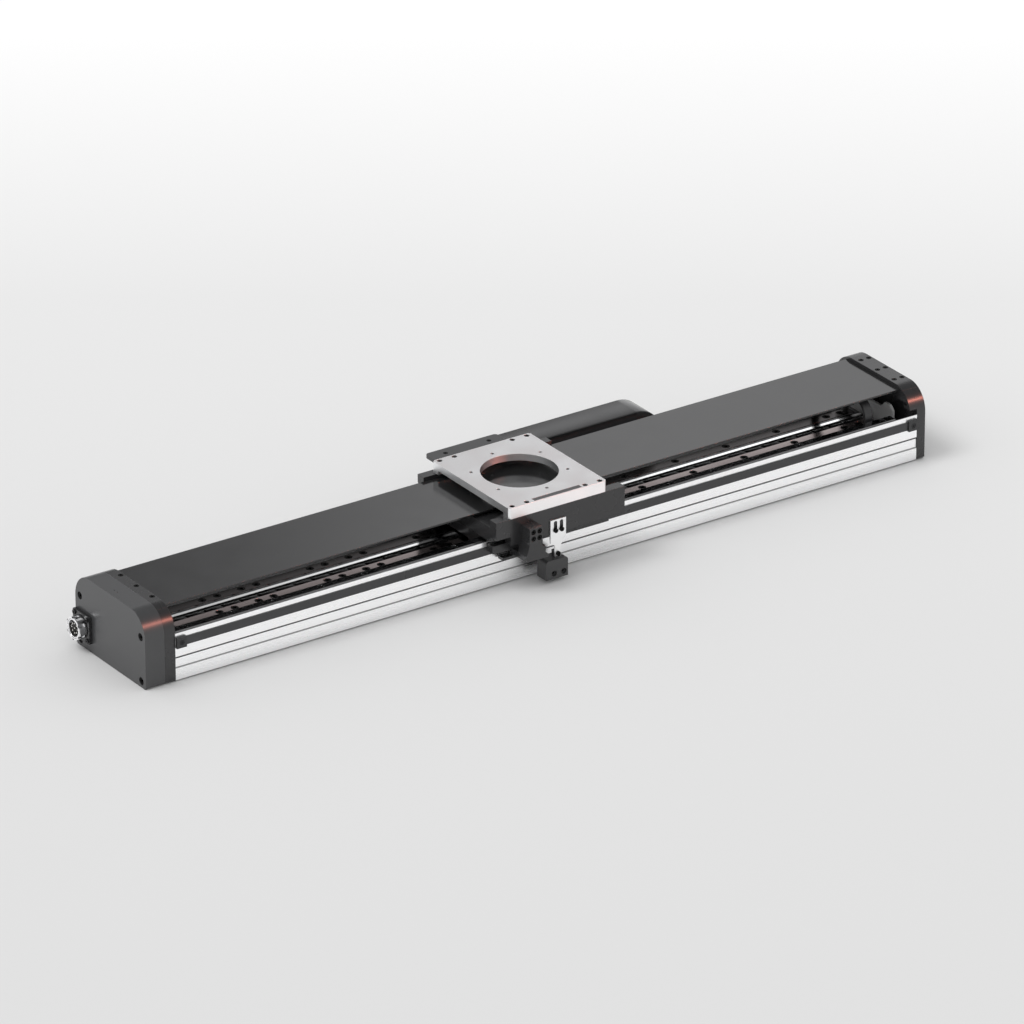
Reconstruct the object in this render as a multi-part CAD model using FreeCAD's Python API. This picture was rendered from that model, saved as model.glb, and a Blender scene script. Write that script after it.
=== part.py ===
import FreeCAD, Part
import math
import os

# A linear motor axis: a grooved aluminium base with two rails and a row of magnets between them, closed
# by an end plate at each end and by a flat cover. A carriage rides on the rails, reaches out through the
# slots on both sides of the cover and carries a plate over it. A cable carrier runs behind the base.
# Millimetres. X runs along the axis, -Y is the side with the scale strip, Z is up.
# The origin is the middle of the base's underside.

# Base, over all
axis_length = 1072.0
base_width = 146.0
cap_height = 90.0
corner_radius = 30.0
foot_chamfer = 2.5

# Base profile
lip_top = 59.0
lip_thickness = 2.0
rail_seat_height = 44.0
rail_gap = 0.5
ledge_half_width = 50.0
trough_floor = 30.0
chamber_floor = 5.0
chamber_roof = 20.0
chamber_rib = 5.0
side_chamber_low = 15.0
side_chamber_roof = 37.0
side_chamber_wall = 4.0
band_low = 17.0
band_high = 28.0
band_depth = 0.8
groove_width = 1.8
groove_depth = 3.0
profile_edge = 1.5
base_bolt_rows = 100.0
base_bolt_pitch = 240.0
base_bolt_margin = 12.0
base_thread_radius = 2.5
base_thread_depth = 12.0

# Rails
rail_width = 15.0
rail_height = 15.0
rail_flat = 10.4
rail_shoulder = 1.8
raceway_depth = 2.5
raceway_mouth = 5.0
rail_start_gap = 3.0
rail_end_gap = 28.0
rail_hole_pitch = 60.0
rail_end_distance = 15.0
rail_screw_sink = 1.3
rail_screw_bite = 6.0

# Magnet track, counted from its right end
track_right_gap = 28.0
track_left_gap = 33.0
track_half_width = 25.0
yoke_thickness = 8.0
track_hole_half_gauge = 18.1
track_pitch = 72.0
track_end_hole = 16.0
track_second_hole = 36.0
track_screw_bite = 6.0
long_plate = 432.0
middle_plate = 144.0
shortest_plate = 48.0
magnet_pitch = 24.0
magnet_length = 20.0
magnet_half_width = 10.6
magnet_thickness = 4.0
magnet_clearance = 0.2
keeper_half_width = 6.0
keeper_thickness = 2.7
keeper_edge = 1.9

# End plates, end blocks and cover
left_plate_thickness = 25.0
left_block_thickness = 14.0
left_plate_pocket = 17.0
pocket_back_wall = 9.0
pocket_front_wall = 27.0
pocket_floor = 14.0
pocket_roof = 63.0
cable_slot_half_width = 20.0
cable_slot_height = 14.0
pin_hole_radius = 0.8
pin_hole_depth = 3.0
pin_hole_inset = 8.8
pin_hole_places = (4.0, -1.9)
right_plate_thickness = 12.0
right_block_thickness = 10.0
block_low = 66.0
block_hollow = 7.0
block_foot_reach = 12.0
cover_thickness = 2.0
clamp_thickness = 4.0
cover_half_width = 51.5
end_screw_half_gauge = 63.5
end_screw_low = 7.7
end_screw_high = 62.0
right_screw_high = 71.0
end_screw_sink = 1.0
end_screw_bite = 12.0
end_screw_stop = 2.0
clamp_screw_gauge = 32.6
left_clamp_screw_inset = 3.9
right_clamp_screw_inset = 6.2
right_clamp_screw_pitch = 11.2
clamp_screw_length = 12.0
clamp_screw_rise = 0.2

# Stop arch: a bent strap under the cover with a stop block in its middle, and the buffers
stop_arch_distance = 50.0
strap_width = 10.0
strap_thickness = 3.5
strap_rail_gap = 2.0
strap_corner = 25.0
strap_foot_drop = 12.0
strap_foot_thickness = 4.0
strap_foot_top = 50.0
strap_screw_drop = 3.5
strap_screw_bite = 6.0
stop_block_length = 23.0
stop_block_half_width = 17.0
stop_block_low = 63.0
buffer_radius = 7.0
buffer_length = 14.3
buffer_half_gauge = 9.0
buffer_height = 71.0
buffer_pin_radius = 2.0
buffer_pin_length = 6.0
buffer_pin_room = 0.3

# Angled sheet across the trough before the right end block
sheet_wall = 3.0
end_sheet_half_width = 43.0
end_sheet_top = 61.0
end_sheet_middle_half = 20.0
end_sheet_middle_top = 53.5
end_sheet_corner = 6.0
end_sheet_screw_y = 25.8
end_sheet_screw_inset = 4.5
end_sheet_screw_bite = 6.0

# Scale strip on the front wall
strip_low = 42.6
strip_height = 10.0
strip_thickness = 1.2
clip_length = 13.0
clip_height = 13.0
clip_thickness = 3.2
clip_overlap = 4.0
clip_end_gap = 0.5
clip_screw_sink = 1.6
clip_screw_bite = 1.0

# Connector on the left end plate
connector_y = 55.8
connector_z = 28.0
connector_flange_size = 34.0
connector_flange_thickness = 4.0
connector_screw_gauge = 26.0
connector_screw_sink = 1.4
connector_screw_length = 8.0
connector_flange_corner = 2.0
shell_radius = 11.4
shell_bore = 9.8
shell_length = 14.0
coupling_radius = 13.8
coupling_length = 10.0
coupling_start = 4.6
coupling_slots = 6
coupling_slot_start = 3.5
coupling_slot_floor = 0.9
coupling_slot_half_width = 2.2
insert_length = 6.0
pin_radius = 0.8
pin_length = 6.0
pin_circle = 6.0
pin_count = 8
pin_foot = 0.5

# Carriage
carriage_x = 2.0
buffer_gap = 0.7
plate_length = 134.0
plate_width = 155.4
plate_y = -17.0
plate_top = 104.0
plate_web = 8.5
plate_foot_depth = 12.0
plate_foot_drop = 5.0
plate_corner = 2.5
bore_radius = 45.0
bolt_circle_radius = 55.0
bolt_circle_count = 6
bolt_circle_hole_radius = 2.1
corner_screw_sink = 1.0
corner_screw_bite = 8.0
corner_long_pitch = 120.0
corner_short_pitch = 80.0
corner_gauge = 146.0
nameplate_length = 65.0
nameplate_width = 6.5
nameplate_thickness = 0.5
nameplate_y = -89.5
nameplate_x = 1.5

frame_length = 168.0
frame_low = 62.0
frame_high = 80.0
bar_left = 84.7
bar_right = 91.8
bar_depth = 12.7
front_bar_low = 57.0
bar_notch_length = 20.0
bar_notch_height = 11.5
rear_bar_gap = 0.8
rear_bar_depth = 12.0
frame_pocket_half = 28.0
frame_wall = 16.0
frame_pocket_depth = 14.0
frame_pocket_height = 13.0
frame_screw_z = 69.0
frame_screw_bite = 9.0
frame_screw_sink = 0.5
rear_screw_half_pitch = 8.4
rear_screw_bite = 8.0
carriage_screw_bite = 6.5
coil_length = 150.0
coil_half_width = 30.0
coil_air_gap = 1.2
coil_edge = 1.5
coil_screw_pitch = 60.0
coil_screw_half_gauge = 21.0
runner_length = 52.0
runner_centre = 55.0
runner_width = 22.0
runner_low = 46.0
runner_gap = 0.3
runner_cap_thickness = 3.0

# Readhead, hall module and limit sensor on the front bar
readhead_left = -80.0
readhead_length = 48.0
readhead_depth = 10.2
readhead_height = 9.7
readhead_gap = 0.5
readhead_edge = 1.5
hall_left = -1.7
hall_length = 75.4
hall_height = 6.0
hall_inset = 2.7
hall_groove_x = 28.0
hall_groove_width = 1.0
hall_groove_depth = 0.6
hall_screw_inset = 8.2
hall_screw_sink = 0.3
hall_screw_bite = 6.0
bracket_left = -49.0
bracket_width = 17.5
bracket_reach = 17.8
bracket_top = 81.0
bracket_bottom = 40.5
bracket_foot_left = 4.0
bracket_foot_right = 8.4
bracket_foot_edge = 3.0
bracket_step = 4.0
bracket_step_top = 56.0
bracket_step_low = 48.5
bracket_curve = 14.0
tongue_length = 13.7
tongue_riser = 6.0
tongue_low = 35.4
tongue_thickness = 3.6
bracket_screw_pitch = 8.2
bracket_screw_first = 5.2
bracket_screw_top = 4.9
bracket_screw_sink = 0.6
bracket_screw_bite = 8.0
sheet_left = -9.8
sheet_width = 21.2
sheet_top = 75.0
sheet_right_low = 53.6
sheet_left_low = 46.3
sheet_neck = 42.5
sheet_thickness = 2.0
sheet_screw_bite = 8.0
stem_left = 6.1
stem_width = 8.6
slot_radius = 2.3
slot_low = 61.6
slot_high = 71.0
slot_first = 6.8
slot_pitch = 8.2
sensor_left = -20.2
sensor_length = 30.2
sensor_depth = 18.0
sensor_low = 4.8
sensor_high = 28.5
sensor_front = 30.0
sensor_corner = 4.0
sensor_tab_height = 7.0
sensor_tab_depth = 5.0
sensor_screw_stop = 0.5
sensor_hole_radius = 2.0
sensor_recess_radius = 3.6
sensor_recess_depth = 3.0
sensor_hole_first = 11.4
sensor_hole_pitch = 13.2
sensor_hole_rise = 6.5

# Cable carrier behind the base
carrier_gap = 1.5
band_width = 40.0
band_top = 83.0
band_thickness = 12.0
bend_outer_radius = 35.0
upper_spare = 6.0
lower_spare = 35.0
strand_end = 6.0
moving_clamp_length = 73.0
moving_clamp_inset = 8.3
moving_clamp_gap = 0.05
fixed_clamp_length = 36.0
fixed_clamp_first_screw = 14.4
fixed_clamp_screw_pitch = 14.4
fixed_clamp_screw_bite = 8.0
arm_thickness = 4.0
arm_left = 44.7
arm_right = 54.3
arm_back = 109.8
arm_gap = 0.5
arm_flange = 3.5
arm_corner = 5.0
arm_hole_pitch = 60.0
arm_hole_y = 98.5
arm_hole_x = 6.5
arm_flange_low = 65.0
arm_screw_bite = 7.0
clamp_screw_bite = 3.7
clamp_shoe_thickness = 3.0
tray_thickness = 2.0
tray_gap = 0.3
tray_wall_top = 34.0
tray_reach = 40.0
tray_screw_inset = 20.0
tray_screw_pitch = 120.0
tray_screw_z = 30.0
tray_screw_bite = 5.0

# Fasteners: thread radius, head radius, head height (for countersunk ones the depth of the head)
m3 = (1.5, 2.75, 3.0)
m4 = (2.0, 3.5, 4.0)
m5 = (2.5, 4.25, 5.0)
m3_sheet = (1.5, 2.75, 1.8)
m3_clip = (1.5, 2.75, 1.4)
m3_flush = (1.5, 2.9, 1.4)
m4_flush = (2.0, 3.2, 1.2)
socket_width = 0.9
socket_depth = 0.55
flush_socket = 0.7
fit = 0.1
head_clearance = 0.45
thread_spare = 0.5
over = 1.0

# Places worked out from the sizes above
half_length = axis_length / 2
half_width = base_width / 2
base_left = -half_length + left_plate_thickness + left_block_thickness
base_right = half_length - right_plate_thickness
base_length = base_right - base_left
cover_top = cap_height - clamp_thickness
cover_low = cover_top - cover_thickness
rail_y = half_width - lip_thickness - rail_gap - rail_width / 2
rail_inner = rail_y - rail_width / 2
rail_left = base_left + rail_start_gap
rail_room = base_length - rail_start_gap - rail_end_gap - 2 * rail_end_distance
rail_hole_count = math.floor(rail_room / rail_hole_pitch + 0.001) + 1
rail_length = (rail_hole_count - 1) * rail_hole_pitch + 2 * rail_end_distance
rail_top = rail_seat_height + rail_height
flange_top = trough_floor + yoke_thickness
keeper_top = flange_top + keeper_thickness
track_right = base_right - track_right_gap
track_room = base_length - track_left_gap - track_right_gap
track_length = math.floor(track_room / magnet_pitch + 0.001) * magnet_pitch
middle_plate_count = math.floor((track_length - long_plate - shortest_plate) / middle_plate)
short_plate = track_length - long_plate - middle_plate_count * middle_plate
track_left = track_right - track_length
strap_right = base_right - stop_arch_distance
strap_left = strap_right - strap_width
stop_left = strap_right - stop_block_length
strap_half_width = rail_inner - strap_rail_gap
frame_left = carriage_x - frame_length / 2
frame_right = carriage_x + frame_length / 2
stroke_left = frame_left - base_left - buffer_length - buffer_gap
stroke_right = stop_left - frame_right - buffer_length - buffer_gap
plate_front = plate_y - plate_width / 2
plate_back = plate_y + plate_width / 2
bar_top = plate_top - plate_web - plate_foot_drop
front_bar_back = plate_front + bar_depth
rear_bar_front = cover_half_width + rear_bar_gap
rear_bar_back = rear_bar_front + rear_bar_depth
band_front = half_width + carrier_gap
band_back = band_front + band_width
bend_z = band_top - bend_outer_radius
lower_strand_low = band_top - 2 * bend_outer_radius
arm_low = band_top + arm_gap
moving_end = carriage_x + arm_right - moving_clamp_inset
bend_x = moving_end + stroke_right / 2 + upper_spare
fixed_end = bend_x - stroke_left / 2 - lower_spare
lower_top = lower_strand_low + band_thickness
strip_left = base_left + clip_end_gap + clip_length - clip_overlap
strip_right = base_right - clip_end_gap - clip_length + clip_overlap
strip_front = -half_width - strip_thickness


def box(x0, x1, y0, y1, z0, z1):
    """A block between two corners."""
    corner = FreeCAD.Vector(min(x0, x1), min(y0, y1), min(z0, z1))
    return Part.makeBox(abs(x1 - x0), abs(y1 - y0), abs(z1 - z0), corner)


def rod(point, direction, radius, length):
    """A round bar from a point along a direction."""
    return Part.makeCylinder(radius, length, FreeCAD.Vector(*point), FreeCAD.Vector(*direction))


def fused(shapes):
    """Overlapping or touching shapes as one clean solid."""
    whole = shapes[0]
    if len(shapes) > 1:
        whole = shapes[0].fuse(shapes[1:])
    return whole.removeSplitter()


def cut(shape, tools):
    """A shape with every tool taken away."""
    return shape.cut(Part.makeCompound(tools)).removeSplitter()


def profile_along_x(points, x0, x1):
    """A closed outline of (y, z) points, drawn out from x0 to x1."""
    corners = [FreeCAD.Vector(x0, y, z) for y, z in points]
    wire = Part.makePolygon(corners + corners[:1])
    return Part.Face(wire).extrude(FreeCAD.Vector(x1 - x0, 0, 0))


def profile_along_y(points, y0, y1):
    """A closed outline of (x, z) points, drawn out from y0 to y1."""
    corners = [FreeCAD.Vector(x, y0, z) for x, z in points]
    wire = Part.makePolygon(corners + corners[:1])
    return Part.Face(wire).extrude(FreeCAD.Vector(0, y1 - y0, 0))


def mirrored_y(shape):
    """The same shape on the other side of the axis."""
    return shape.mirror(FreeCAD.Vector(0, 0, 0), FreeCAD.Vector(0, 1, 0))


def screw(seat, direction, size, length):
    """A socket head screw: its head stands on the seat and its shank runs along the direction."""
    thread, head, head_height = size
    point = FreeCAD.Vector(*seat)
    along = FreeCAD.Vector(*direction)
    shank = Part.makeCylinder(thread, length, point, along)
    cap = Part.makeCylinder(head, head_height, point, along * -1)
    socket = hexagon(point - along * head_height, along, thread * socket_width, head_height * socket_depth)
    return fused([shank, cap]).cut(socket)


def hexagon(point, along, radius, depth):
    """A six-sided pocket that starts at a point and runs along a direction."""
    side = FreeCAD.Vector(0, 0, 1)
    if abs(along.z) > 0.5:
        side = FreeCAD.Vector(1, 0, 0)
    other = along.cross(side)
    corners = []
    for step in range(7):
        angle = math.radians(60 * step)
        corners.append(point + side * (radius * math.cos(angle)) + other * (radius * math.sin(angle)))
    return Part.Face(Part.makePolygon(corners)).extrude(along * depth)


def screw_hole(seat, direction, size, length, sink):
    """The hole for a screw, with a round recess from its seat out past the surface."""
    thread, head, _ = size
    point = FreeCAD.Vector(*seat)
    along = FreeCAD.Vector(*direction)
    shank = Part.makeCylinder(thread + fit / 2, length + thread_spare, point, along)
    pocket = Part.makeCylinder(head + head_clearance, sink + over, point, along * -1)
    return shank.fuse(pocket)


def thread_hole(point, direction, size, bite):
    """A threaded hole from a face, a little deeper than its screw reaches."""
    return rod(point, direction, size[0] + fit / 2, bite + thread_spare)


def flush_screw(point, direction, size, length):
    """A countersunk screw: its head is level with the point and the screw runs along the direction."""
    thread, head, head_depth = size
    top = FreeCAD.Vector(*point)
    along = FreeCAD.Vector(*direction)
    cone = Part.makeCone(head, thread, head_depth, top, along)
    shank = Part.makeCylinder(thread, length - head_depth, top + along * head_depth, along)
    return fused([cone, shank]).cut(hexagon(top, along, thread * flush_socket, head_depth * flush_socket))


def flush_hole(point, direction, size, depth):
    """The hole for a countersunk screw."""
    thread, head, head_depth = size
    top = FreeCAD.Vector(*point)
    along = FreeCAD.Vector(*direction)
    grow = fit / 2
    cone = Part.makeCone(head + grow, thread + grow, head_depth, top, along)
    return cone.fuse(Part.makeCylinder(thread + grow, depth, top, along))


def save(name, *solids):
    """Write one sub-part, as one solid or as a group of separate solids."""
    loose = []
    for solid in solids:
        loose.extend(solid.Solids)
    shape = loose[0] if len(loose) == 1 else Part.makeCompound(loose)
    shape.exportStep("parts/" + name + ".step")


def cap_section(x0, x1, low, high):
    """A slice of the rounded end shape between two heights."""
    drop = math.sqrt(0.5) * corner_radius
    top_y = half_width - corner_radius
    arc_z = cap_height - corner_radius

    def at(y, z):
        return FreeCAD.Vector(x0, y, z)

    edges = [
        Part.LineSegment(at(-half_width + foot_chamfer, 0), at(half_width - foot_chamfer, 0)),
        Part.LineSegment(at(half_width - foot_chamfer, 0), at(half_width, foot_chamfer)),
        Part.LineSegment(at(half_width, foot_chamfer), at(half_width, arc_z)),
        Part.Arc(at(half_width, arc_z), at(top_y + drop, arc_z + drop), at(top_y, cap_height)),
        Part.LineSegment(at(top_y, cap_height), at(-top_y, cap_height)),
        Part.Arc(at(-top_y, cap_height), at(-top_y - drop, arc_z + drop), at(-half_width, arc_z)),
        Part.LineSegment(at(-half_width, arc_z), at(-half_width, foot_chamfer)),
        Part.LineSegment(at(-half_width, foot_chamfer), at(-half_width + foot_chamfer, 0)),
    ]
    wire = Part.Wire([edge.toShape() for edge in edges])
    whole = Part.Face(wire).extrude(FreeCAD.Vector(x1 - x0, 0, 0))
    slab = box(x0 - over, x1 + over, -half_width - over, half_width + over, low, high)
    return whole.common(slab).removeSplitter()


def base_outline():
    """The outline of the base: bottom, grooved sides, lips, rail ledges and trough."""
    side = half_width
    inner = half_width - lip_thickness
    half = [
        (side - profile_edge, 0),
        (side, profile_edge),
        (side, band_low),
        (side - band_depth, band_low),
        (side - band_depth, band_high),
        (side - groove_depth, band_high),
        (side - groove_depth, band_high + groove_width),
        (side, band_high + groove_width),
        (side, lip_top),
        (inner, lip_top),
        (inner, rail_seat_height),
        (ledge_half_width, rail_seat_height),
        (ledge_half_width, trough_floor),
    ]
    return half + [(-y, z) for y, z in reversed(half)]


def base_chambers():
    """Hollow chambers that run through the base, one pair under the trough and one under each ledge."""
    x0 = base_left - over
    x1 = base_right + over
    inner = ledge_half_width - side_chamber_wall
    outer = half_width - groove_depth - side_chamber_wall
    chambers = []
    for side in (-1, 1):
        chambers.append(box(x0, x1, side * chamber_rib / 2, side * inner, chamber_floor, chamber_roof))
        chambers.append(box(x0, x1, side * (ledge_half_width + side_chamber_wall), side * outer, side_chamber_low,
                            side_chamber_roof))
    return chambers


def base_bolt_places():
    """Pairs of threaded holes in the underside, evenly spaced about the middle."""
    pairs = math.floor((base_length - 2 * base_bolt_margin) / base_bolt_pitch) + 1
    middle = (pairs - 1) / 2
    return [((row - middle) * base_bolt_pitch, side * base_bolt_rows / 2)
            for row in range(pairs) for side in (-1, 1)]


def rail_hole_places():
    """Where the rail screws sit, for one rail."""
    return [rail_left + rail_end_distance + rail_hole_pitch * step for step in range(rail_hole_count)]


def track_plates():
    """Each magnet plate as (left end, length), from left to right."""
    plates = [(track_left, short_plate)]
    for step in range(middle_plate_count):
        plates.append((track_left + short_plate + step * middle_plate, middle_plate))
    plates.append((track_right - long_plate, long_plate))
    return plates


def plate_hole_places(left, length):
    """Screw places along one magnet plate. The short plate is screwed down beside its joint only."""
    if length < 2 * track_pitch:
        places = [length - track_second_hole, length - track_end_hole]
    else:
        places = [track_end_hole, length - track_end_hole]
        steps = math.floor((length - 2 * track_second_hole) / track_pitch + 0.001)
        places.extend(track_second_hole + step * track_pitch for step in range(steps + 1))
    return [left + place for place in sorted(places)]


def track_screw_places():
    """Every screw place of the magnet track."""
    places = []
    for left, length in track_plates():
        for x in plate_hole_places(left, length):
            places.append((x, -track_hole_half_gauge))
            places.append((x, track_hole_half_gauge))
    return places


def make_base():
    """The long base profile with all its threaded holes."""
    shape = profile_along_x(base_outline(), base_left, base_right)
    tools = base_chambers()
    for x, y in base_bolt_places():
        tools.append(rod((x, y, 0), (0, 0, 1), base_thread_radius, base_thread_depth))
    for side in (-1, 1):
        for x in rail_hole_places():
            tools.append(thread_hole((x, side * rail_y, rail_seat_height), (0, 0, -1), m4, rail_screw_bite))
        for x, along in ((base_left, 1), (base_right, -1)):
            seat = (x, side * end_screw_half_gauge, end_screw_low)
            tools.append(thread_hole(seat, (along, 0, 0), m5, end_screw_bite))
        seat = (arch_screw_x(), side * ledge_half_width, arch_screw_z())
        tools.append(thread_hole(seat, (0, side, 0), m4, strap_screw_bite))
    for x, y in track_screw_places():
        tools.append(thread_hole((x, y, trough_floor), (0, 0, -1), m5, track_screw_bite))
    for x in (strip_left, strip_right):
        tools.append(thread_hole((clip_screw_x(x), -half_width, clip_z()), (0, 1, 0), m3, clip_screw_bite))
    for x in tray_screw_places():
        tools.append(thread_hole((x, half_width, tray_screw_z), (0, -1, 0), m4, tray_screw_bite))
    for x, y in end_sheet_screw_places():
        tools.append(thread_hole((x, y, trough_floor), (0, 0, -1), m4, end_sheet_screw_bite))
    save("base_profile", cut(shape, tools))


def rail_seat_z():
    """Height at which the heads of the rail screws stand."""
    return rail_top - m4[2] - rail_screw_sink


def rail_solid():
    """The front rail, with a V raceway on its inner flank and counterbored screw holes."""
    half = rail_width / 2
    flat = rail_flat / 2
    low = rail_seat_height
    middle = low + rail_height / 2
    outline = [
        (-rail_y - half, low),
        (-rail_y - half, rail_top - rail_shoulder),
        (-rail_y - flat, rail_top),
        (-rail_y + flat, rail_top),
        (-rail_y + half, rail_top - rail_shoulder),
        (-rail_y + half, middle + raceway_mouth / 2),
        (-rail_y + half - raceway_depth, middle),
        (-rail_y + half, middle - raceway_mouth / 2),
        (-rail_y + half, low),
    ]
    rail = profile_along_x(outline, rail_left, rail_left + rail_length)
    sink = m4[2] + rail_screw_sink
    tools = [screw_hole((x, -rail_y, rail_seat_z()), (0, 0, -1), m4, rail_height, sink)
             for x in rail_hole_places()]
    return cut(rail, tools)


def make_rails():
    """Two rails and their screws."""
    front = rail_solid()
    save("front_rail", front)
    save("back_rail", mirrored_y(front))
    length = rail_seat_z() - rail_seat_height + rail_screw_bite
    save("rail_screws", *[screw((x, side * rail_y, rail_seat_z()), (0, 0, -1), m4, length)
                          for x in rail_hole_places() for side in (-1, 1)])


def magnet_plate(left, length):
    """One steel plate of the track, with a recess for its magnets and counterbored screw holes."""
    plate = box(left, left + length, -track_half_width, track_half_width, trough_floor, flange_top)
    recess = magnet_half_width + magnet_clearance
    tools = [box(left - over, left + length + over, -recess, recess, flange_top - magnet_thickness,
                 flange_top + over)]
    for x in plate_hole_places(left, length):
        for side in (-1, 1):
            seat = (x, side * track_hole_half_gauge, flange_top - m5[2])
            tools.append(screw_hole(seat, (0, 0, -1), m5, yoke_thickness, m5[2]))
    return cut(plate, tools)


def make_track():
    """Magnet plates, the magnet row, the keeper strip over it and the track's screws."""
    plates = [magnet_plate(left, length) for left, length in track_plates()]
    save("magnet_plate_short", plates[0])
    save("magnet_plates_middle", *plates[1:-1])
    save("magnet_plate_long", plates[-1])
    magnets = []
    for step in range(round(track_length / magnet_pitch)):
        x = track_left + (step + 0.5) * magnet_pitch
        magnets.append(box(x - magnet_length / 2, x + magnet_length / 2, -magnet_half_width, magnet_half_width,
                           flange_top - magnet_thickness, flange_top))
    save("magnets", *magnets)
    keeper = [
        (-keeper_half_width, flange_top),
        (keeper_half_width, flange_top),
        (keeper_half_width, keeper_top - keeper_edge),
        (keeper_half_width - keeper_edge, keeper_top),
        (keeper_edge - keeper_half_width, keeper_top),
        (-keeper_half_width, keeper_top - keeper_edge),
    ]
    save("keeper_strip", profile_along_x(keeper, track_left, track_right))
    length = yoke_thickness - m5[2] + track_screw_bite
    save("track_screws", *[screw((x, y, flange_top - m5[2]), (0, 0, -1), m5, length)
                           for x, y in track_screw_places()])


def end_screw_seats(x, high):
    """The four screw places of an end plate at a given x, with the height of the upper two."""
    return [(x, side * end_screw_half_gauge, z) for side in (-1, 1) for z in (end_screw_low, high)]


def end_screw_depth():
    """How deep the seats of the end plates' screws lie."""
    return m5[2] + end_screw_sink


def clamp_screw_places(columns):
    """Screw places of a cover clamp: three rows across, in one or more columns."""
    return [(x, row * clamp_screw_gauge, cap_height) for x in columns for row in (-1, 0, 1)]


def left_clamp_columns():
    """The column of screws of the left cover clamp."""
    return [base_left - left_clamp_screw_inset]


def right_clamp_columns():
    """The two columns of screws of the right cover clamp."""
    first = base_right - right_block_thickness + right_clamp_screw_inset
    return [first, first + right_clamp_screw_pitch]


def clamp_screw_seat(place):
    """Where a clamp screw's head stands: sunk in the clamp but for a little."""
    x, y, z = place
    return (x, y, z - m3[2] + clamp_screw_rise)


def cover_clamp(x0, x1, columns):
    """The clamp over one end of the cover, with its screw holes."""
    clamp = cap_section(x0, x1, cover_top, cap_height)
    return cut(clamp, [screw_hole(clamp_screw_seat(place), (0, 0, -1), m3, clamp_thickness, m3[2])
                       for place in clamp_screw_places(columns)])


def buffer_holes(x, along):
    """Holes for the buffers' pins, into a face at x."""
    return [rod((x, side * buffer_half_gauge, buffer_height), (along, 0, 0), buffer_pin_radius + fit / 2,
                buffer_pin_length + buffer_pin_room) for side in (-1, 1)]


def make_left_end():
    """Thick left end plate, the block inside it and the clamp over the cover."""
    outer = -half_length
    seam = outer + left_plate_thickness
    plate = cap_section(outer, seam, 0, cap_height)
    tools = [box(seam - left_plate_pocket, seam + over, pocket_front_wall - half_width,
                 half_width - pocket_back_wall, pocket_floor, pocket_roof)]
    depth = end_screw_depth()
    for seat in end_screw_seats(outer + depth, end_screw_high):
        tools.append(screw_hole(seat, (1, 0, 0), m5, left_plate_thickness, depth))
    tools.append(rod((outer - over, connector_y, connector_z), (1, 0, 0), shell_bore, left_plate_thickness))
    bite = connector_screw_length + connector_screw_sink - connector_flange_thickness
    for y, z in connector_screw_places():
        tools.append(thread_hole((outer, y, z), (1, 0, 0), m3, bite))
    for y in pin_hole_places:
        tools.append(rod((outer + pin_hole_inset, y, cap_height), (0, 0, -1), pin_hole_radius, pin_hole_depth))
    save("left_end_plate", cut(plate, tools))

    block = cap_section(seam, base_left, 0, cover_top)
    seat_cut = box(seam - over, base_left + over, -cover_half_width - fit, cover_half_width + fit, cover_low,
                   cover_top + over)
    cable_slot = box(seam - over, base_left + over, -cable_slot_half_width, cable_slot_half_width, flange_top,
                     flange_top + cable_slot_height)
    tools = [seat_cut, cable_slot] + buffer_holes(base_left, -1)
    for seat in end_screw_seats(seam, end_screw_high):
        tools.append(rod(seat, (1, 0, 0), m5[0] + fit / 2, left_block_thickness + over))
    for place in clamp_screw_places(left_clamp_columns()):
        tools.append(thread_hole(clamp_screw_seat(place), (0, 0, -1), m3, clamp_screw_length))
    save("left_end_block", cut(block, tools))
    save("left_cover_clamp", cover_clamp(seam, base_left, left_clamp_columns()))


def make_right_end():
    """Thin right end plate, the block that holds the cover's end and the clamp over both."""
    outer = half_length
    seam = base_right
    depth = end_screw_depth()
    plate = cap_section(seam, outer, 0, cover_top)
    tools = []
    for seat in end_screw_seats(outer - depth, right_screw_high):
        tools.append(screw_hole(seat, (-1, 0, 0), m5, right_plate_thickness, depth))
    for place in clamp_screw_places(right_clamp_columns()[1:]):
        tools.append(thread_hole(clamp_screw_seat(place), (0, 0, -1), m3, clamp_screw_length))
    save("right_end_plate", cut(plate, tools))

    inner = seam - right_block_thickness
    block = cap_section(inner, seam, block_low, cover_top)
    hollow = box(inner - over, seam + over, block_foot_reach - half_width, half_width - block_foot_reach,
                 block_low - over, block_low + block_hollow)
    seat_cut = box(inner - over, seam, -cover_half_width - fit, cover_half_width + fit, cover_low,
                   cover_top + over)
    tools = [hollow, seat_cut]
    for seat in end_screw_seats(seam, right_screw_high):
        tools.append(rod(seat, (-1, 0, 0), m5[0] + fit / 2, right_block_thickness + over))
    for place in clamp_screw_places(right_clamp_columns()[:1]):
        tools.append(thread_hole(clamp_screw_seat(place), (0, 0, -1), m3, clamp_screw_length))
    save("right_end_block", cut(block, tools))
    save("right_cover_clamp", cover_clamp(inner, outer, right_clamp_columns()))


def make_cover():
    """The flat cover plate, with holes for the clamp screws at both ends."""
    left = -half_length + left_plate_thickness
    cover = box(left, base_right, -cover_half_width, cover_half_width, cover_low, cover_top)
    places = clamp_screw_places(left_clamp_columns() + right_clamp_columns()[:1])
    tools = [rod((x, y, cover_low - over), (0, 0, 1), m3[0] + fit, cover_thickness + 2 * over)
             for x, y, _ in places]
    save("cover_plate", cut(cover, tools))


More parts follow.
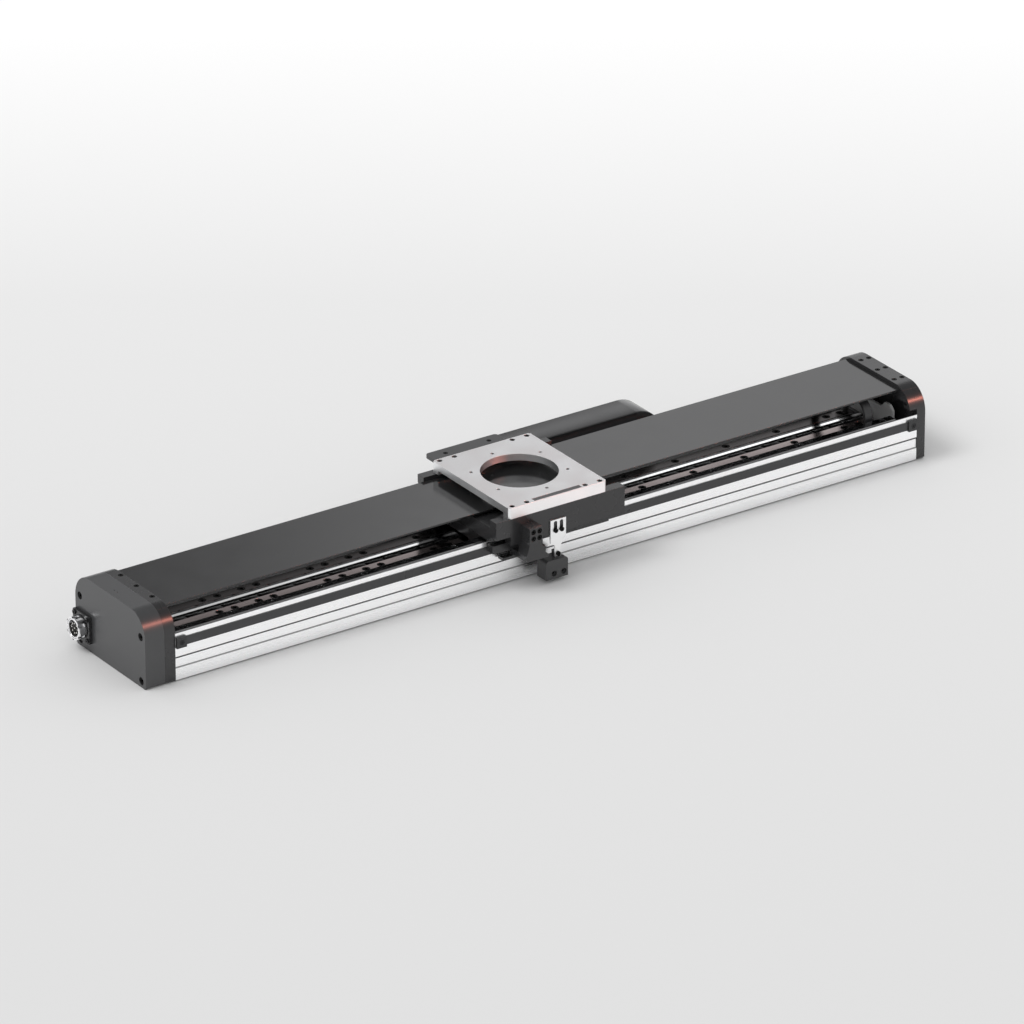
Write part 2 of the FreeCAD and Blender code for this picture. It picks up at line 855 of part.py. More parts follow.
def make_end_screws():
    """Screws of the end plates and of the cover clamps. The upper ones stop inside the end blocks."""
    depth = end_screw_depth()
    screws = []
    for seat in end_screw_seats(-half_length + depth, end_screw_high):
        reach = end_screw_bite if seat[2] == end_screw_low else -end_screw_stop
        length = left_plate_thickness - depth + left_block_thickness + reach
        screws.append(screw(seat, (1, 0, 0), m5, length))
    for seat in end_screw_seats(half_length - depth, right_screw_high):
        reach = end_screw_bite if seat[2] == end_screw_low else right_block_thickness - end_screw_stop
        screws.append(screw(seat, (-1, 0, 0), m5, right_plate_thickness - depth + reach))
    save("end_plate_screws", *screws)
    places = clamp_screw_places(left_clamp_columns() + right_clamp_columns())
    save("cover_clamp_screws", *[screw(clamp_screw_seat(place), (0, 0, -1), m3, clamp_screw_length)
                                 for place in places])


def end_sheet_screw_places():
    """Where the end sheet's foot is screwed to the trough."""
    return [(base_right - end_sheet_screw_inset, side * end_sheet_screw_y) for side in (-1, 1)]


def make_end_sheet():
    """Angled sheet across the trough, with its upright wall towards the stop arch."""
    left = base_right - right_block_thickness - sheet_wall
    wide = end_sheet_half_width
    middle = end_sheet_middle_half
    rise = end_sheet_top - end_sheet_middle_top
    half = [
        (wide, trough_floor),
        (wide, end_sheet_top - end_sheet_corner),
        (wide - end_sheet_corner, end_sheet_top),
        (middle + rise, end_sheet_top),
        (middle, end_sheet_middle_top),
    ]
    outline = half + [(-y, z) for y, z in reversed(half)]
    wall = profile_along_x(outline, left, left + sheet_wall)
    foot = box(left, base_right, -wide, wide, trough_floor, trough_floor + sheet_wall)
    holes = [rod((x, y, trough_floor - over), (0, 0, 1), m4[0] + fit / 2, sheet_wall + 2 * over)
             for x, y in end_sheet_screw_places()]
    save("trough_end_sheet", cut(fused([wall, foot]), holes))


def arch_screw_x():
    """The screws of the arch sit in the middle of its strap."""
    return (strap_left + strap_right) / 2


def arch_screw_z():
    """Height of the screws that hold the arch's feet on the walls of the trough."""
    return rail_seat_height - strap_screw_drop


def arch(x0, x1, half, top, corner, low):
    """A block with two rounded upper corners."""
    drop = math.sqrt(0.5) * corner
    inner = half - corner
    arc_z = top - corner

    def at(y, z):
        return FreeCAD.Vector(x0, y, z)

    edges = [
        Part.LineSegment(at(-half, low), at(half, low)),
        Part.LineSegment(at(half, low), at(half, arc_z)),
        Part.Arc(at(half, arc_z), at(inner + drop, arc_z + drop), at(inner, top)),
        Part.LineSegment(at(inner, top), at(-inner, top)),
        Part.Arc(at(-inner, top), at(-inner - drop, arc_z + drop), at(-half, arc_z)),
        Part.LineSegment(at(-half, arc_z), at(-half, low)),
    ]
    wire = Part.Wire([edge.toShape() for edge in edges])
    return Part.Face(wire).extrude(FreeCAD.Vector(x1 - x0, 0, 0))


def make_stop_arch():
    """Bent strap from ledge to ledge under the cover, with the stop block for the buffers in its middle."""
    half = strap_half_width
    inner = half - strap_thickness
    bent = arch(strap_left, strap_right, half, cover_low, strap_corner, rail_seat_height)
    hollow = arch(strap_left - over, strap_right + over, inner, cover_low - strap_thickness,
                  strap_corner - strap_thickness, rail_seat_height - over)
    foot_inner = ledge_half_width - strap_foot_thickness
    foot_low = rail_seat_height - strap_foot_drop
    feet = [box(strap_left, strap_right, side * foot_inner, side * ledge_half_width, foot_low, strap_foot_top)
            for side in (-1, 1)]
    block = box(stop_left, strap_right, -stop_block_half_width, stop_block_half_width, stop_block_low,
                cover_low)
    tools = buffer_holes(stop_left, 1)
    screws = []
    for side in (-1, 1):
        seat = (arch_screw_x(), side * foot_inner, arch_screw_z())
        tools.append(rod(seat, (0, side, 0), m4[0] + fit / 2, strap_foot_thickness + over))
        screws.append(screw(seat, (0, side, 0), m4, strap_foot_thickness + strap_screw_bite))
    save("stop_arch", cut(fused([bent.cut(hollow), block] + feet), tools))
    for x, y in end_sheet_screw_places():
        seat = (x, y, trough_floor + sheet_wall)
        screws.append(screw(seat, (0, 0, -1), m4, sheet_wall + end_sheet_screw_bite))
    save("trough_screws", *screws)


def make_buffers():
    """Rubber buffers that stop the carriage frame at both ends of its travel."""
    buffers = []
    for side in (-1, 1):
        for start, along in ((base_left, 1), (stop_left, -1)):
            foot = (start, side * buffer_half_gauge, buffer_height)
            body = rod(foot, (along, 0, 0), buffer_radius, buffer_length)
            pin = rod(foot, (-along, 0, 0), buffer_pin_radius, buffer_pin_length)
            buffers.append(fused([body, pin]))
    save("buffers", *buffers)


def clip_z():
    """Height of the middle of the scale strip and its clips."""
    return strip_low + strip_height / 2


def clip_screw_x(strip_end):
    """The screw of the clip that holds a given end of the scale strip."""
    if strip_end == strip_left:
        return base_left + clip_end_gap + clip_length / 2
    return base_right - clip_end_gap - clip_length / 2


def make_scale():
    """Scale strip on the front wall, held by a screwed clip at each end."""
    strip = box(strip_left, strip_right, strip_front, -half_width, strip_low, strip_low + strip_height)
    save("scale_strip", strip)
    front = -half_width - clip_thickness
    low = clip_z() - clip_height / 2
    room = box(strip_left - fit, strip_right + fit, strip_front - fit, over - half_width, strip_low - fit,
               strip_low + strip_height + fit)
    length = clip_thickness - clip_screw_sink + clip_screw_bite
    clips = []
    screws = []
    for strip_end in (strip_left, strip_right):
        x = clip_screw_x(strip_end)
        clip = box(x - clip_length / 2, x + clip_length / 2, front, -half_width, low, low + clip_height)
        seat = (x, front + clip_screw_sink, clip_z())
        clips.append(cut(clip, [room, screw_hole(seat, (0, 1, 0), m3_clip, clip_thickness, clip_screw_sink)]))
        screws.append(screw(seat, (0, 1, 0), m3_clip, length))
    save("scale_clips", *clips)
    save("scale_clip_screws", *screws)


def connector_screw_places():
    """The four screws of the connector's flange."""
    half = connector_screw_gauge / 2
    return [(connector_y + dy, connector_z + dz) for dy in (-half, half) for dz in (-half, half)]


def make_connector():
    """Flange, coupling ring, shell, insert and pins of the round connector on the left end plate."""
    face = -half_length
    outer = face - connector_flange_thickness
    half = connector_flange_size / 2
    middle = (connector_y, connector_z)
    flange = box(outer, face, connector_y - half, connector_y + half, connector_z - half, connector_z + half)
    upright = [e for e in flange.Edges if abs(e.tangentAt(e.FirstParameter).x) > 0.9]
    flange = flange.makeFillet(connector_flange_corner, upright)
    tools = [rod((outer - over, *middle), (1, 0, 0), shell_radius + fit / 2,
                 connector_flange_thickness + 2 * over)]
    seats = [(outer + connector_screw_sink, y, z) for y, z in connector_screw_places()]
    for seat in seats:
        tools.append(screw_hole(seat, (1, 0, 0), m3, connector_flange_thickness, connector_screw_sink))
    save("connector_flange", cut(flange, tools))
    save("connector_screws", *[screw(seat, (1, 0, 0), m3, connector_screw_length) for seat in seats])

    shell = rod((face, *middle), (-1, 0, 0), shell_radius, shell_length)
    bore = rod((face + over, *middle), (-1, 0, 0), shell_bore, shell_length + 2 * over)
    save("connector_shell", shell.cut(bore))
    save("connector_ring", coupling_ring())

    insert = rod((face, *middle), (-1, 0, 0), shell_bore - fit / 2, insert_length)
    pin_places = [middle]
    for step in range(pin_count):
        angle = 2 * math.pi * step / pin_count
        y = connector_y + pin_circle * math.cos(angle)
        z = connector_z + pin_circle * math.sin(angle)
        pin_places.append((y, z))
    holes = [rod((face + over, y, z), (-1, 0, 0), pin_radius + fit / 4, insert_length + 2 * over)
             for y, z in pin_places]
    save("connector_insert", cut(insert, holes))
    pins = [rod((face - pin_foot, y, z), (-1, 0, 0), pin_radius, insert_length + pin_length)
            for y, z in pin_places]
    save("connector_pins", *pins)


def coupling_ring():
    """The ring around the connector's shell, with slots in its outer half."""
    start = -half_length - coupling_start
    ring = rod((start, connector_y, connector_z), (-1, 0, 0), coupling_radius, coupling_length)
    tools = [rod((start + over, connector_y, connector_z), (-1, 0, 0), shell_radius + fit / 2,
                 coupling_length + 2 * over)]
    for step in range(coupling_slots):
        slot = box(start - coupling_length - over, start - coupling_slot_start,
                   connector_y + shell_radius + coupling_slot_floor, connector_y + coupling_radius + over,
                   connector_z - coupling_slot_half_width, connector_z + coupling_slot_half_width)
        slot.rotate(FreeCAD.Vector(0, connector_y, connector_z), FreeCAD.Vector(1, 0, 0),
                    360 / coupling_slots * (step + 0.5))
        tools.append(slot)
    return cut(ring, tools)


def corner_places(sides=(-1, 1)):
    """The eight screw places near the plate's corners, or the four on one side."""
    places = []
    for half in (corner_long_pitch / 2, corner_short_pitch / 2):
        for side in sides:
            for end in (-1, 1):
                places.append((carriage_x + end * half, plate_y + side * corner_gauge / 2))
    return places


def corner_seat():
    """Height at which the heads of the corner screws stand."""
    return plate_top - m3[2] - corner_screw_sink


def circle_places():
    """The six threaded holes around the bore."""
    places = []
    for step in range(bolt_circle_count):
        angle = math.pi / 2 + 2 * math.pi * step / bolt_circle_count
        x = carriage_x + bolt_circle_radius * math.cos(angle)
        places.append((x, plate_y + bolt_circle_radius * math.sin(angle)))
    return places


def make_top_plate():
    """Silver plate over the cover, on a foot along its front and its back edge."""
    x0 = carriage_x - plate_length / 2
    x1 = carriage_x + plate_length / 2
    under = plate_top - plate_web
    height = plate_top - bar_top
    plate = box(x0, x1, plate_front, plate_back, bar_top, plate_top)
    upright = [e for e in plate.Edges if abs(e.tangentAt(e.FirstParameter).z) > 0.9]
    plate = plate.makeChamfer(plate_corner, upright)
    tunnel = box(x0 - over, x1 + over, plate_front + plate_foot_depth, plate_back - plate_foot_depth,
                 bar_top - over, under)
    tools = [tunnel, rod((carriage_x, plate_y, bar_top), (0, 0, 1), bore_radius, height + over)]
    for x, y in corner_places():
        tools.append(screw_hole((x, y, corner_seat()), (0, 0, -1), m3, height, m3[2] + corner_screw_sink))
    for x, y in circle_places():
        tools.append(rod((x, y, bar_top - over), (0, 0, 1), bolt_circle_hole_radius, height + 2 * over))
    tools.append(nameplate(fit / 2, over))
    save("top_plate", cut(plate, tools))
    length = corner_seat() - bar_top + corner_screw_bite
    save("top_plate_screws", *[screw((x, y, corner_seat()), (0, 0, -1), m3, length)
                               for x, y in corner_places()])
    save("nameplate", nameplate(0, 0))


def nameplate(grow, rise):
    """Bare strip let into the plate's top, or the recess for it."""
    half = nameplate_length / 2 + grow
    wide = nameplate_width / 2 + grow
    x = carriage_x + nameplate_x
    return box(x - half, x + half, nameplate_y - wide, nameplate_y + wide, plate_top - nameplate_thickness,
               plate_top + rise)


def frame_screw_places():
    """Where the frame is screwed to the front bar, from the pocket under the frame."""
    return [carriage_x + frame_pocket_half * share for share in (-0.75, -0.25, 0.25, 0.75)]


def rear_screw_places():
    """Where the rear bar is screwed to the frame, from below."""
    return [carriage_x + side * rear_screw_half_pitch for side in (-1, 1)]


def rear_screw_y():
    """The rear bar's screws sit in the middle of its depth."""
    return (rear_bar_front + rear_bar_back) / 2


def frame_seat(size):
    """How deep the seats of the screws in the frame lie below its face."""
    return size[2] + frame_screw_sink


def runner_places():
    """Centre of each runner block and the side it is on."""
    return [(carriage_x + end * runner_centre, side) for side in (-1, 1) for end in (-1, 1)]


def runner_screw_places():
    """Two screws for each runner block."""
    y = rail_inner - runner_gap - runner_width / 2
    return [(x + step * runner_length / 4, side * y) for x, side in runner_places() for step in (-1, 1)]


def coil_screw_places():
    """Six screws for the coil unit."""
    return [(carriage_x + step * coil_screw_pitch, side * coil_screw_half_gauge)
            for step in (-1, 0, 1) for side in (-1, 1)]


def make_frame():
    """Flat frame under the cover, from the front bar to beneath the rear bar."""
    height = frame_high - frame_low
    frame = box(frame_left, frame_right, front_bar_back, rear_bar_back, frame_low, frame_high)
    wall = front_bar_back + frame_wall
    pocket = box(carriage_x - frame_pocket_half, carriage_x + frame_pocket_half, wall,
                 wall + frame_pocket_depth, frame_low - over, frame_low + frame_pocket_height)
    tools = [pocket]
    for x in frame_screw_places():
        tools.append(rod((x, wall, frame_screw_z), (0, -1, 0), m5[0] + fit / 2, frame_wall + over))
    for x, y in runner_screw_places() + coil_screw_places():
        seat = (x, y, frame_high - frame_seat(m4))
        tools.append(screw_hole(seat, (0, 0, -1), m4, height, frame_seat(m4)))
    for x in arm_screw_places():
        tools.append(thread_hole((x, rear_bar_back, arm_flange_z()), (0, -1, 0), m3, arm_screw_bite))
    for x in rear_screw_places():
        seat = (x, rear_screw_y(), frame_low + frame_seat(m5))
        tools.append(screw_hole(seat, (0, 0, 1), m5, height, frame_seat(m5)))
    save("carriage_frame", cut(frame, tools))


def corner_bar_holes(side):
    """Threaded holes for the plate's corner screws, in the bar on one side."""
    return [thread_hole((x, y, bar_top), (0, 0, -1), m3, corner_screw_bite)
            for x, y in corner_places((side,))]


def make_bars():
    """Front bar beside the base and rear bar behind the cover, both under the plate's feet."""
    x0 = carriage_x - bar_left
    x1 = carriage_x + bar_right
    front = box(x0, x1, plate_front, front_bar_back, front_bar_low, bar_top)
    tools = [box(x0 - over, x0 + bar_notch_length, plate_front - over, front_bar_back + over,
                 front_bar_low - over, front_bar_low + bar_notch_height)]
    for x in frame_screw_places():
        tools.append(thread_hole((x, front_bar_back, frame_screw_z), (0, -1, 0), m5, frame_screw_bite))
    for x, z in bracket_screw_places():
        tools.append(thread_hole((x, plate_front, z), (0, 1, 0), m3, bracket_screw_bite))
    for x, z in sheet_screw_places():
        tools.append(thread_hole((x, plate_front, z), (0, 1, 0), m3, sheet_screw_bite))
    for x, y in hall_screw_places():
        tools.append(thread_hole((x, y, front_bar_low), (0, 0, 1), m3, hall_screw_bite))
    tools.extend(corner_bar_holes(-1))
    save("front_bar", cut(front, tools))

    rear = box(x0, x1, rear_bar_front, rear_bar_back, frame_high, bar_top)
    tools = corner_bar_holes(1)
    for x in rear_screw_places():
        tools.append(thread_hole((x, rear_screw_y(), frame_high), (0, 0, 1), m5, rear_screw_bite))
    save("rear_bar", cut(rear, tools))


def make_carriage_screws():
    """Screws inside the carriage: frame to both bars, runners and coil unit to the frame."""
    screws = []
    for x in rear_screw_places():
        seat = frame_low + frame_seat(m5)
        screws.append(screw((x, rear_screw_y(), seat), (0, 0, 1), m5, frame_high - seat + rear_screw_bite))
    for x in frame_screw_places():
        seat = (x, front_bar_back + frame_wall, frame_screw_z)
        screws.append(screw(seat, (0, -1, 0), m5, frame_wall + frame_screw_bite))
    for x, y in runner_screw_places() + coil_screw_places():
        seat = frame_high - frame_seat(m4)
        screws.append(screw((x, y, seat), (0, 0, -1), m4, seat - frame_low + carriage_screw_bite))
    save("carriage_screws", *screws)


def runner_outline(side):
    """Outline of a runner block, with a V rib that runs in the rail's raceway."""
    face = rail_inner - runner_gap
    middle = rail_seat_height + rail_height / 2
    half = raceway_mouth / 2 - runner_gap
    points = [
        (face - runner_width, runner_low),
        (face, runner_low),
        (face, middle - half),
        (face + raceway_depth - runner_gap, middle),
        (face, middle + half),
        (face, frame_low),
        (face - runner_width, frame_low),
    ]
    return [(side * y, z) for y, z in points]


def make_runners():
    """Four runner blocks and the end caps on both ends of each."""
    names = {(-1, -1): "runner_front_left", (1, -1): "runner_front_right",
             (-1, 1): "runner_back_left", (1, 1): "runner_back_right"}
    caps = []
    for x, side in runner_places():
        x0 = x - runner_length / 2
        x1 = x + runner_length / 2
        outline = runner_outline(side)
        block = profile_along_x(outline, x0 + runner_cap_thickness, x1 - runner_cap_thickness)
        holes = [thread_hole((sx, sy, frame_low), (0, 0, -1), m4, carriage_screw_bite)
                 for sx, sy in runner_screw_places() if x0 < sx < x1]
        end = 1 if x > carriage_x else -1
        save(names[(end, side)], cut(block, holes))
        for start in (x0, x1 - runner_cap_thickness):
            caps.append(profile_along_x(outline, start, start + runner_cap_thickness))
    save("runner_end_caps", *caps)


def make_coil():
    """Coil unit under the frame, close over the magnets."""
    low = keeper_top + coil_air_gap
    coil = box(carriage_x - coil_length / 2, carriage_x + coil_length / 2, -coil_half_width, coil_half_width,
               low, frame_low)
    lengthwise = [e for e in coil.Edges
                  if abs(e.tangentAt(e.FirstParameter).x) > 0.9 and e.BoundBox.ZMax < low + over]
    coil = coil.makeChamfer(coil_edge, lengthwise)
    holes = [thread_hole((x, y, frame_low), (0, 0, -1), m4, carriage_screw_bite)
             for x, y in coil_screw_places()]
    save("coil_unit", cut(coil, holes))


def bracket_screw_places():
    """Two by two screws on the readhead bracket's face."""
    first = bracket_left + bracket_screw_first
    top = bracket_top - bracket_screw_top
    return [(first + i * bracket_screw_pitch, top - j * bracket_screw_pitch) for i in (0, 1) for j in (0, 1)]


def head_back():
    """How close the readhead and the hall module come to the scale strip."""
    return strip_front - readhead_gap


def readhead_low():
    """Height of the readhead's underside."""
    return front_bar_low - readhead_height


def make_readhead():
    """Readhead in front of the scale strip."""
    back = head_back()
    front = back - readhead_depth
    head = box(readhead_left, readhead_left + readhead_length, front, back, readhead_low(), front_bar_low)
    ends = [e for e in head.Edges
            if abs(e.tangentAt(e.FirstParameter).z) > 0.9 and e.BoundBox.YMax < front + over]
    save("encoder_readhead", head.makeChamfer(readhead_edge, ends))


def bracket_seat_y():
    """Where the heads of the readhead bracket's screws stand."""
    return plate_front - bracket_reach + m3[2] + bracket_screw_sink


def make_readhead_bracket():
    """The flared bracket under the readhead: a post on the front bar, a stepped foot, a hook and a tongue."""
    face = plate_front - bracket_reach
    back = head_back()
    front = back - readhead_depth
    left = bracket_left
    right = bracket_left + bracket_width
    foot_left = left - bracket_foot_left
    foot_right = right + bracket_foot_right
    low = readhead_low()
    post = box(left, right, face, plate_front, bracket_bottom, bracket_top)
    foot = profile_along_y([
        (foot_left, bracket_bottom),
        (foot_right, bracket_bottom),
        (foot_right, bracket_bottom + bracket_foot_edge),
        (right + bracket_step, bracket_step_low),
        (right + bracket_step, bracket_step_top),
        (left, bracket_step_top),
        (left, low),
        (foot_left, low),
    ], face, back)
    curve = profile_along_y([
        (foot_left, low),
        (left + over, low),
        (left + over, low + bracket_curve),
        (left, low + bracket_curve),
    ], face, plate_front)
    hook_right = foot_left + tongue_riser
    hook = box(foot_left, hook_right, front, back, tongue_low, bracket_bottom + over)
    tongue = box(foot_left - tongue_length, hook_right, front, back, tongue_low, tongue_low + tongue_thickness)
    shape = fused([post, foot, curve, hook, tongue])
    tools = [box(foot_left - over, foot_right + over, front - fit, back + over, low, front_bar_low + over)]
    seat = bracket_seat_y()
    for x, z in bracket_screw_places():
        tools.append(screw_hole((x, seat, z), (0, 1, 0), m3, plate_front - seat, seat - face))
    save("readhead_bracket", cut(shape, tools))


def hall_screw_places():
    """Two screws that hold the hall module under the front bar."""
    return [(hall_left + hall_length * share, plate_front + hall_screw_inset) for share in (0.25, 0.75)]


def hall_seat_z():
    """Where the heads of the hall module's screws stand."""
    return front_bar_low - hall_height + m3[2] + hall_screw_sink


def make_hall_module():
    """Sensor module under the front bar, in front of the scale strip."""
    front = plate_front + hall_inset
    low = front_bar_low - hall_height
    body = box(hall_left, hall_left + hall_length, front, head_back(), low, front_bar_low)
    groove_x = hall_left + hall_groove_x
    tools = [box(groove_x, groove_x + hall_groove_width, front - over, front + hall_groove_depth, low - over,
                 front_bar_low + over)]
    for x, y in hall_screw_places():
        tools.append(screw_hole((x, y, hall_seat_z()), (0, 0, 1), m3, hall_height, hall_seat_z() - low))
    save("hall_module", cut(body, tools))


def sheet_screw_places():
    """Where screws hold the sheet bracket, at the lower end of its two slots."""
    first = sheet_left + slot_first
    return [(first, slot_low), (first + slot_pitch, slot_low)]


def make_sensor_bracket():
    """Sheet bracket with two slots and a narrow stem."""
    back = plate_front
    front = back - sheet_thickness
    left = sheet_left
    right = sheet_left + sheet_width
    stem_right = left + stem_left + stem_width
    outline = [
        (left, sheet_top),
        (right, sheet_top),
        (right, sheet_right_low),
        (stem_right, sheet_neck),
        (stem_right, sensor_high),
        (left + stem_left, sensor_high),
        (left + stem_left, sheet_neck),
        (left, sheet_left_low),
    ]
    sheet = profile_along_y(outline, front, back)
    tools = []
    for step in (0, 1):
        x = left + slot_first + step * slot_pitch
        tools.append(box(x - slot_radius, x + slot_radius, front - over, back + over, slot_low, slot_high))
        for z in (slot_low, slot_high):
            tools.append(rod((x, front - over, z), (0, 1, 0), slot_radius, sheet_thickness + 2 * over))
    x, z = sensor_screw_place()
    tools.append(rod((x, front - over, z), (0, 1, 0), m3[0] + fit, sheet_thickness + 2 * over))
    save("sensor_bracket", cut(sheet, tools))


def sensor_screw_place():
    """The screw that holds the limit sensor on the stem."""
    return (sheet_left + stem_left + stem_width / 2, sensor_high + sensor_tab_height / 2)


def make_limit_sensor():
    """Limit sensor that hangs in front of the base, with a tab behind the bracket's stem."""
    left = sensor_left
    right = sensor_left + sensor_length
    front = -half_width - sensor_front
    body = box(left, right, front, front + sensor_depth, sensor_low, sensor_high)
    upper = [e for e in body.Edges
             if abs(e.tangentAt(e.FirstParameter).y) > 0.9 and e.BoundBox.ZMin > sensor_high - over]
    body = body.makeFillet(sensor_corner, upper)
    stem = sheet_left + stem_left
    tab = box(stem, stem + stem_width, plate_front, plate_front + sensor_tab_depth, sensor_high - over,
              sensor_high + sensor_tab_height)
    x, z = sensor_screw_place()
    tools = [rod((x, plate_front - over, z), (0, 1, 0), m3[0] + fit / 2, sensor_tab_depth + 2 * over)]
    for step in (0, 1):
        x = left + sensor_hole_first + step * sensor_hole_pitch
        hole = (x, front - over, sensor_low + sensor_hole_rise)
        tools.append(rod(hole, (0, 1, 0), sensor_hole_radius, sensor_depth + 2 * over))
        tools.append(rod(hole, (0, 1, 0), sensor_recess_radius, sensor_recess_depth + over))
    save("limit_sensor", cut(fused([body, tab]), tools))


def make_sensor_screws():
    """Screws of the readhead bracket, the sheet bracket, the limit sensor and the hall module."""
    front = plate_front - sheet_thickness
    screws = [screw((x, front, z), (0, 1, 0), m3_sheet, sheet_thickness + sheet_screw_bite)
              for x, z in sheet_screw_places()]
    for x, z in bracket_screw_places():
        length = plate_front - bracket_seat_y() + bracket_screw_bite
        screws.append(screw((x, bracket_seat_y(), z), (0, 1, 0), m3, length))
    x, z = sensor_screw_place()
    length = sheet_thickness + sensor_tab_depth - sensor_screw_stop
    screws.append(screw((x, front, z), (0, 1, 0), m3_sheet, length))
    for x, y in hall_screw_places():
        length = front_bar_low - hall_seat_z() + hall_screw_bite
        screws.append(screw((x, y, hall_seat_z()), (0, 0, 1), m3, length))
    save("sensor_screws", *screws)


def arm_flange_z():
    """Height of the screws in the arm's flange."""
    return (frame_low + frame_high) / 2


def arm_screw_places():
    """Screws that hold the carrier arm's flange on the back of the frame."""
    return [carriage_x + arm_hole_x + side * arm_hole_pitch / 2 for side in (-1, 1)]


def make_carrier_arm():
    """Flat arm behind the rear bar that holds the moving end of the cable carrier."""
    x0 = carriage_x - arm_left
    x1 = carriage_x + arm_right
    high = arm_low + arm_thickness
    sheet = box(x0, x1, rear_bar_back, arm_back, arm_low, high)
    corners = [e for e in sheet.Edges
               if abs(e.tangentAt(e.FirstParameter).z) > 0.9 and e.BoundBox.YMin > arm_back - over]
    sheet = sheet.makeFillet(arm_corner, corners)
    flange = box(x0, x1, rear_bar_back, rear_bar_back + arm_flange, arm_flange_low, high)
    tools = []
    screws = []
    for x in arm_screw_places():
        behind = (x, rear_bar_back - over, arm_flange_z())
        tools.append(rod(behind, (0, 1, 0), m3[0] + fit, arm_flange + 2 * over))
        tools.append(flush_hole((x, arm_hole_y, high), (0, 0, -1), m3_flush, arm_thickness + over))
        seat = (x, rear_bar_back + arm_flange, arm_flange_z())
        screws.append(screw(seat, (0, -1, 0), m3, arm_flange + arm_screw_bite))
        length = arm_thickness + clamp_screw_bite
        screws.append(flush_screw((x, arm_hole_y, high), (0, 0, -1), m3_flush, length))
    save("carrier_arm", cut(fused([sheet, flange]), tools))
    save("carrier_arm_screws", *screws)


def make_moving_clamp():
    """Shoe under the arm: it holds the end of the upper strand from three sides."""
    shoe = clamp_shoe_thickness
    low = band_top - band_thickness
    outer = box(moving_end - moving_clamp_length, moving_end, band_front, band_back, low - shoe, arm_low)
    room = box(moving_end - strand_end, moving_end + over, band_front + shoe, band_back - shoe, low,
               band_top + moving_clamp_gap)
    holes = [thread_hole((x, arm_hole_y, arm_low), (0, 0, -1), m3, clamp_screw_bite)
             for x in arm_screw_places()]
    save("carrier_moving_clamp", cut(outer, [room] + holes))


def strand(end, low):
    """A straight run of the cable carrier up to the bend, with a narrower tongue inside its clamp."""
    inset = clamp_shoe_thickness + fit
    run = box(end, bend_x, band_front, band_back, low, low + band_thickness)
    tongue = box(end - strand_end + fit, end, band_front + inset, band_back - inset, low + fit,
                 low + band_thickness - fit)
    return fused([run, tongue])


def make_cable_carrier():
    """Upper strand, bend and lower strand of the smooth cable carrier."""
    save("carrier_upper_strand", strand(moving_end, band_top - band_thickness))
    save("carrier_lower_strand", strand(fixed_end, lower_strand_low))
    outer = rod((bend_x, band_front, bend_z), (0, 1, 0), bend_outer_radius, band_width)
    inner = rod((bend_x, band_front - over, bend_z), (0, 1, 0), bend_outer_radius - band_thickness,
                band_width + 2 * over)
    left_half = box(bend_x - bend_outer_radius - over, bend_x, band_front - over, band_back + over,
                    bend_z - bend_outer_radius - over, band_top + over)
    save("carrier_bend", outer.cut(inner).cut(left_half))


def tray_screw_places():
    """Screws that hold the tray on the back of the base."""
    x0, x1 = tray_ends()
    count = math.floor((x1 - x0 - 2 * tray_screw_inset) / tray_screw_pitch) + 1
    return [x0 + tray_screw_inset + step * tray_screw_pitch for step in range(count)]


def fixed_clamp_screw_places():
    """Two screws that hold the fixed clamp on the tray, from below."""
    y = (band_front + band_back) / 2
    last = fixed_end - fixed_clamp_first_screw
    return [(last - fixed_clamp_screw_pitch, y), (last, y)]


def tray_ends():
    """The tray reaches from the fixed clamp to where the bend lies at the right end of the travel."""
    return (fixed_end - tray_reach, bend_x + stroke_right / 2 + tray_reach)


def make_tray():
    """Angled sheet on the back of the base that carries the lower strand and its fixed clamp."""
    x0, x1 = tray_ends()
    top = lower_strand_low - tray_gap
    low = top - tray_thickness
    seat = band_front - tray_gap
    wall = seat - half_width
    outline = [
        (half_width, low),
        (band_back, low),
        (band_back, top),
        (seat, top),
        (seat, tray_wall_top),
        (half_width, tray_wall_top),
    ]
    tray = profile_along_x(outline, x0, x1)
    tools = []
    screws = []
    for x in tray_screw_places():
        tools.append(flush_hole((x, seat, tray_screw_z), (0, -1, 0), m4_flush, wall + over))
        screws.append(flush_screw((x, seat, tray_screw_z), (0, -1, 0), m4_flush, wall + tray_screw_bite))
    for x, y in fixed_clamp_screw_places():
        tools.append(flush_hole((x, y, low), (0, 0, 1), m4_flush, tray_thickness + over))
        screws.append(flush_screw((x, y, low), (0, 0, 1), m4_flush, tray_thickness + fixed_clamp_screw_bite))
    save("carrier_tray", cut(tray, tools))
    save("tray_screws", *screws)


def make_fixed_clamp():
    """Shoe on the tray: it holds the end of the lower strand from three sides."""
    shoe = clamp_shoe_thickness
    low = lower_strand_low - tray_gap
    outer = box(fixed_end - fixed_clamp_length, fixed_end, band_front, band_back, low, lower_top + shoe)
    room = box(fixed_end - strand_end, fixed_end + over, band_front + shoe, band_back - shoe, lower_strand_low,
               lower_top)
    holes = [thread_hole((x, y, low), (0, 0, 1), m4, fixed_clamp_screw_bite)
             for x, y in fixed_clamp_screw_places()]
    save("carrier_fixed_clamp", cut(outer, [room] + holes))


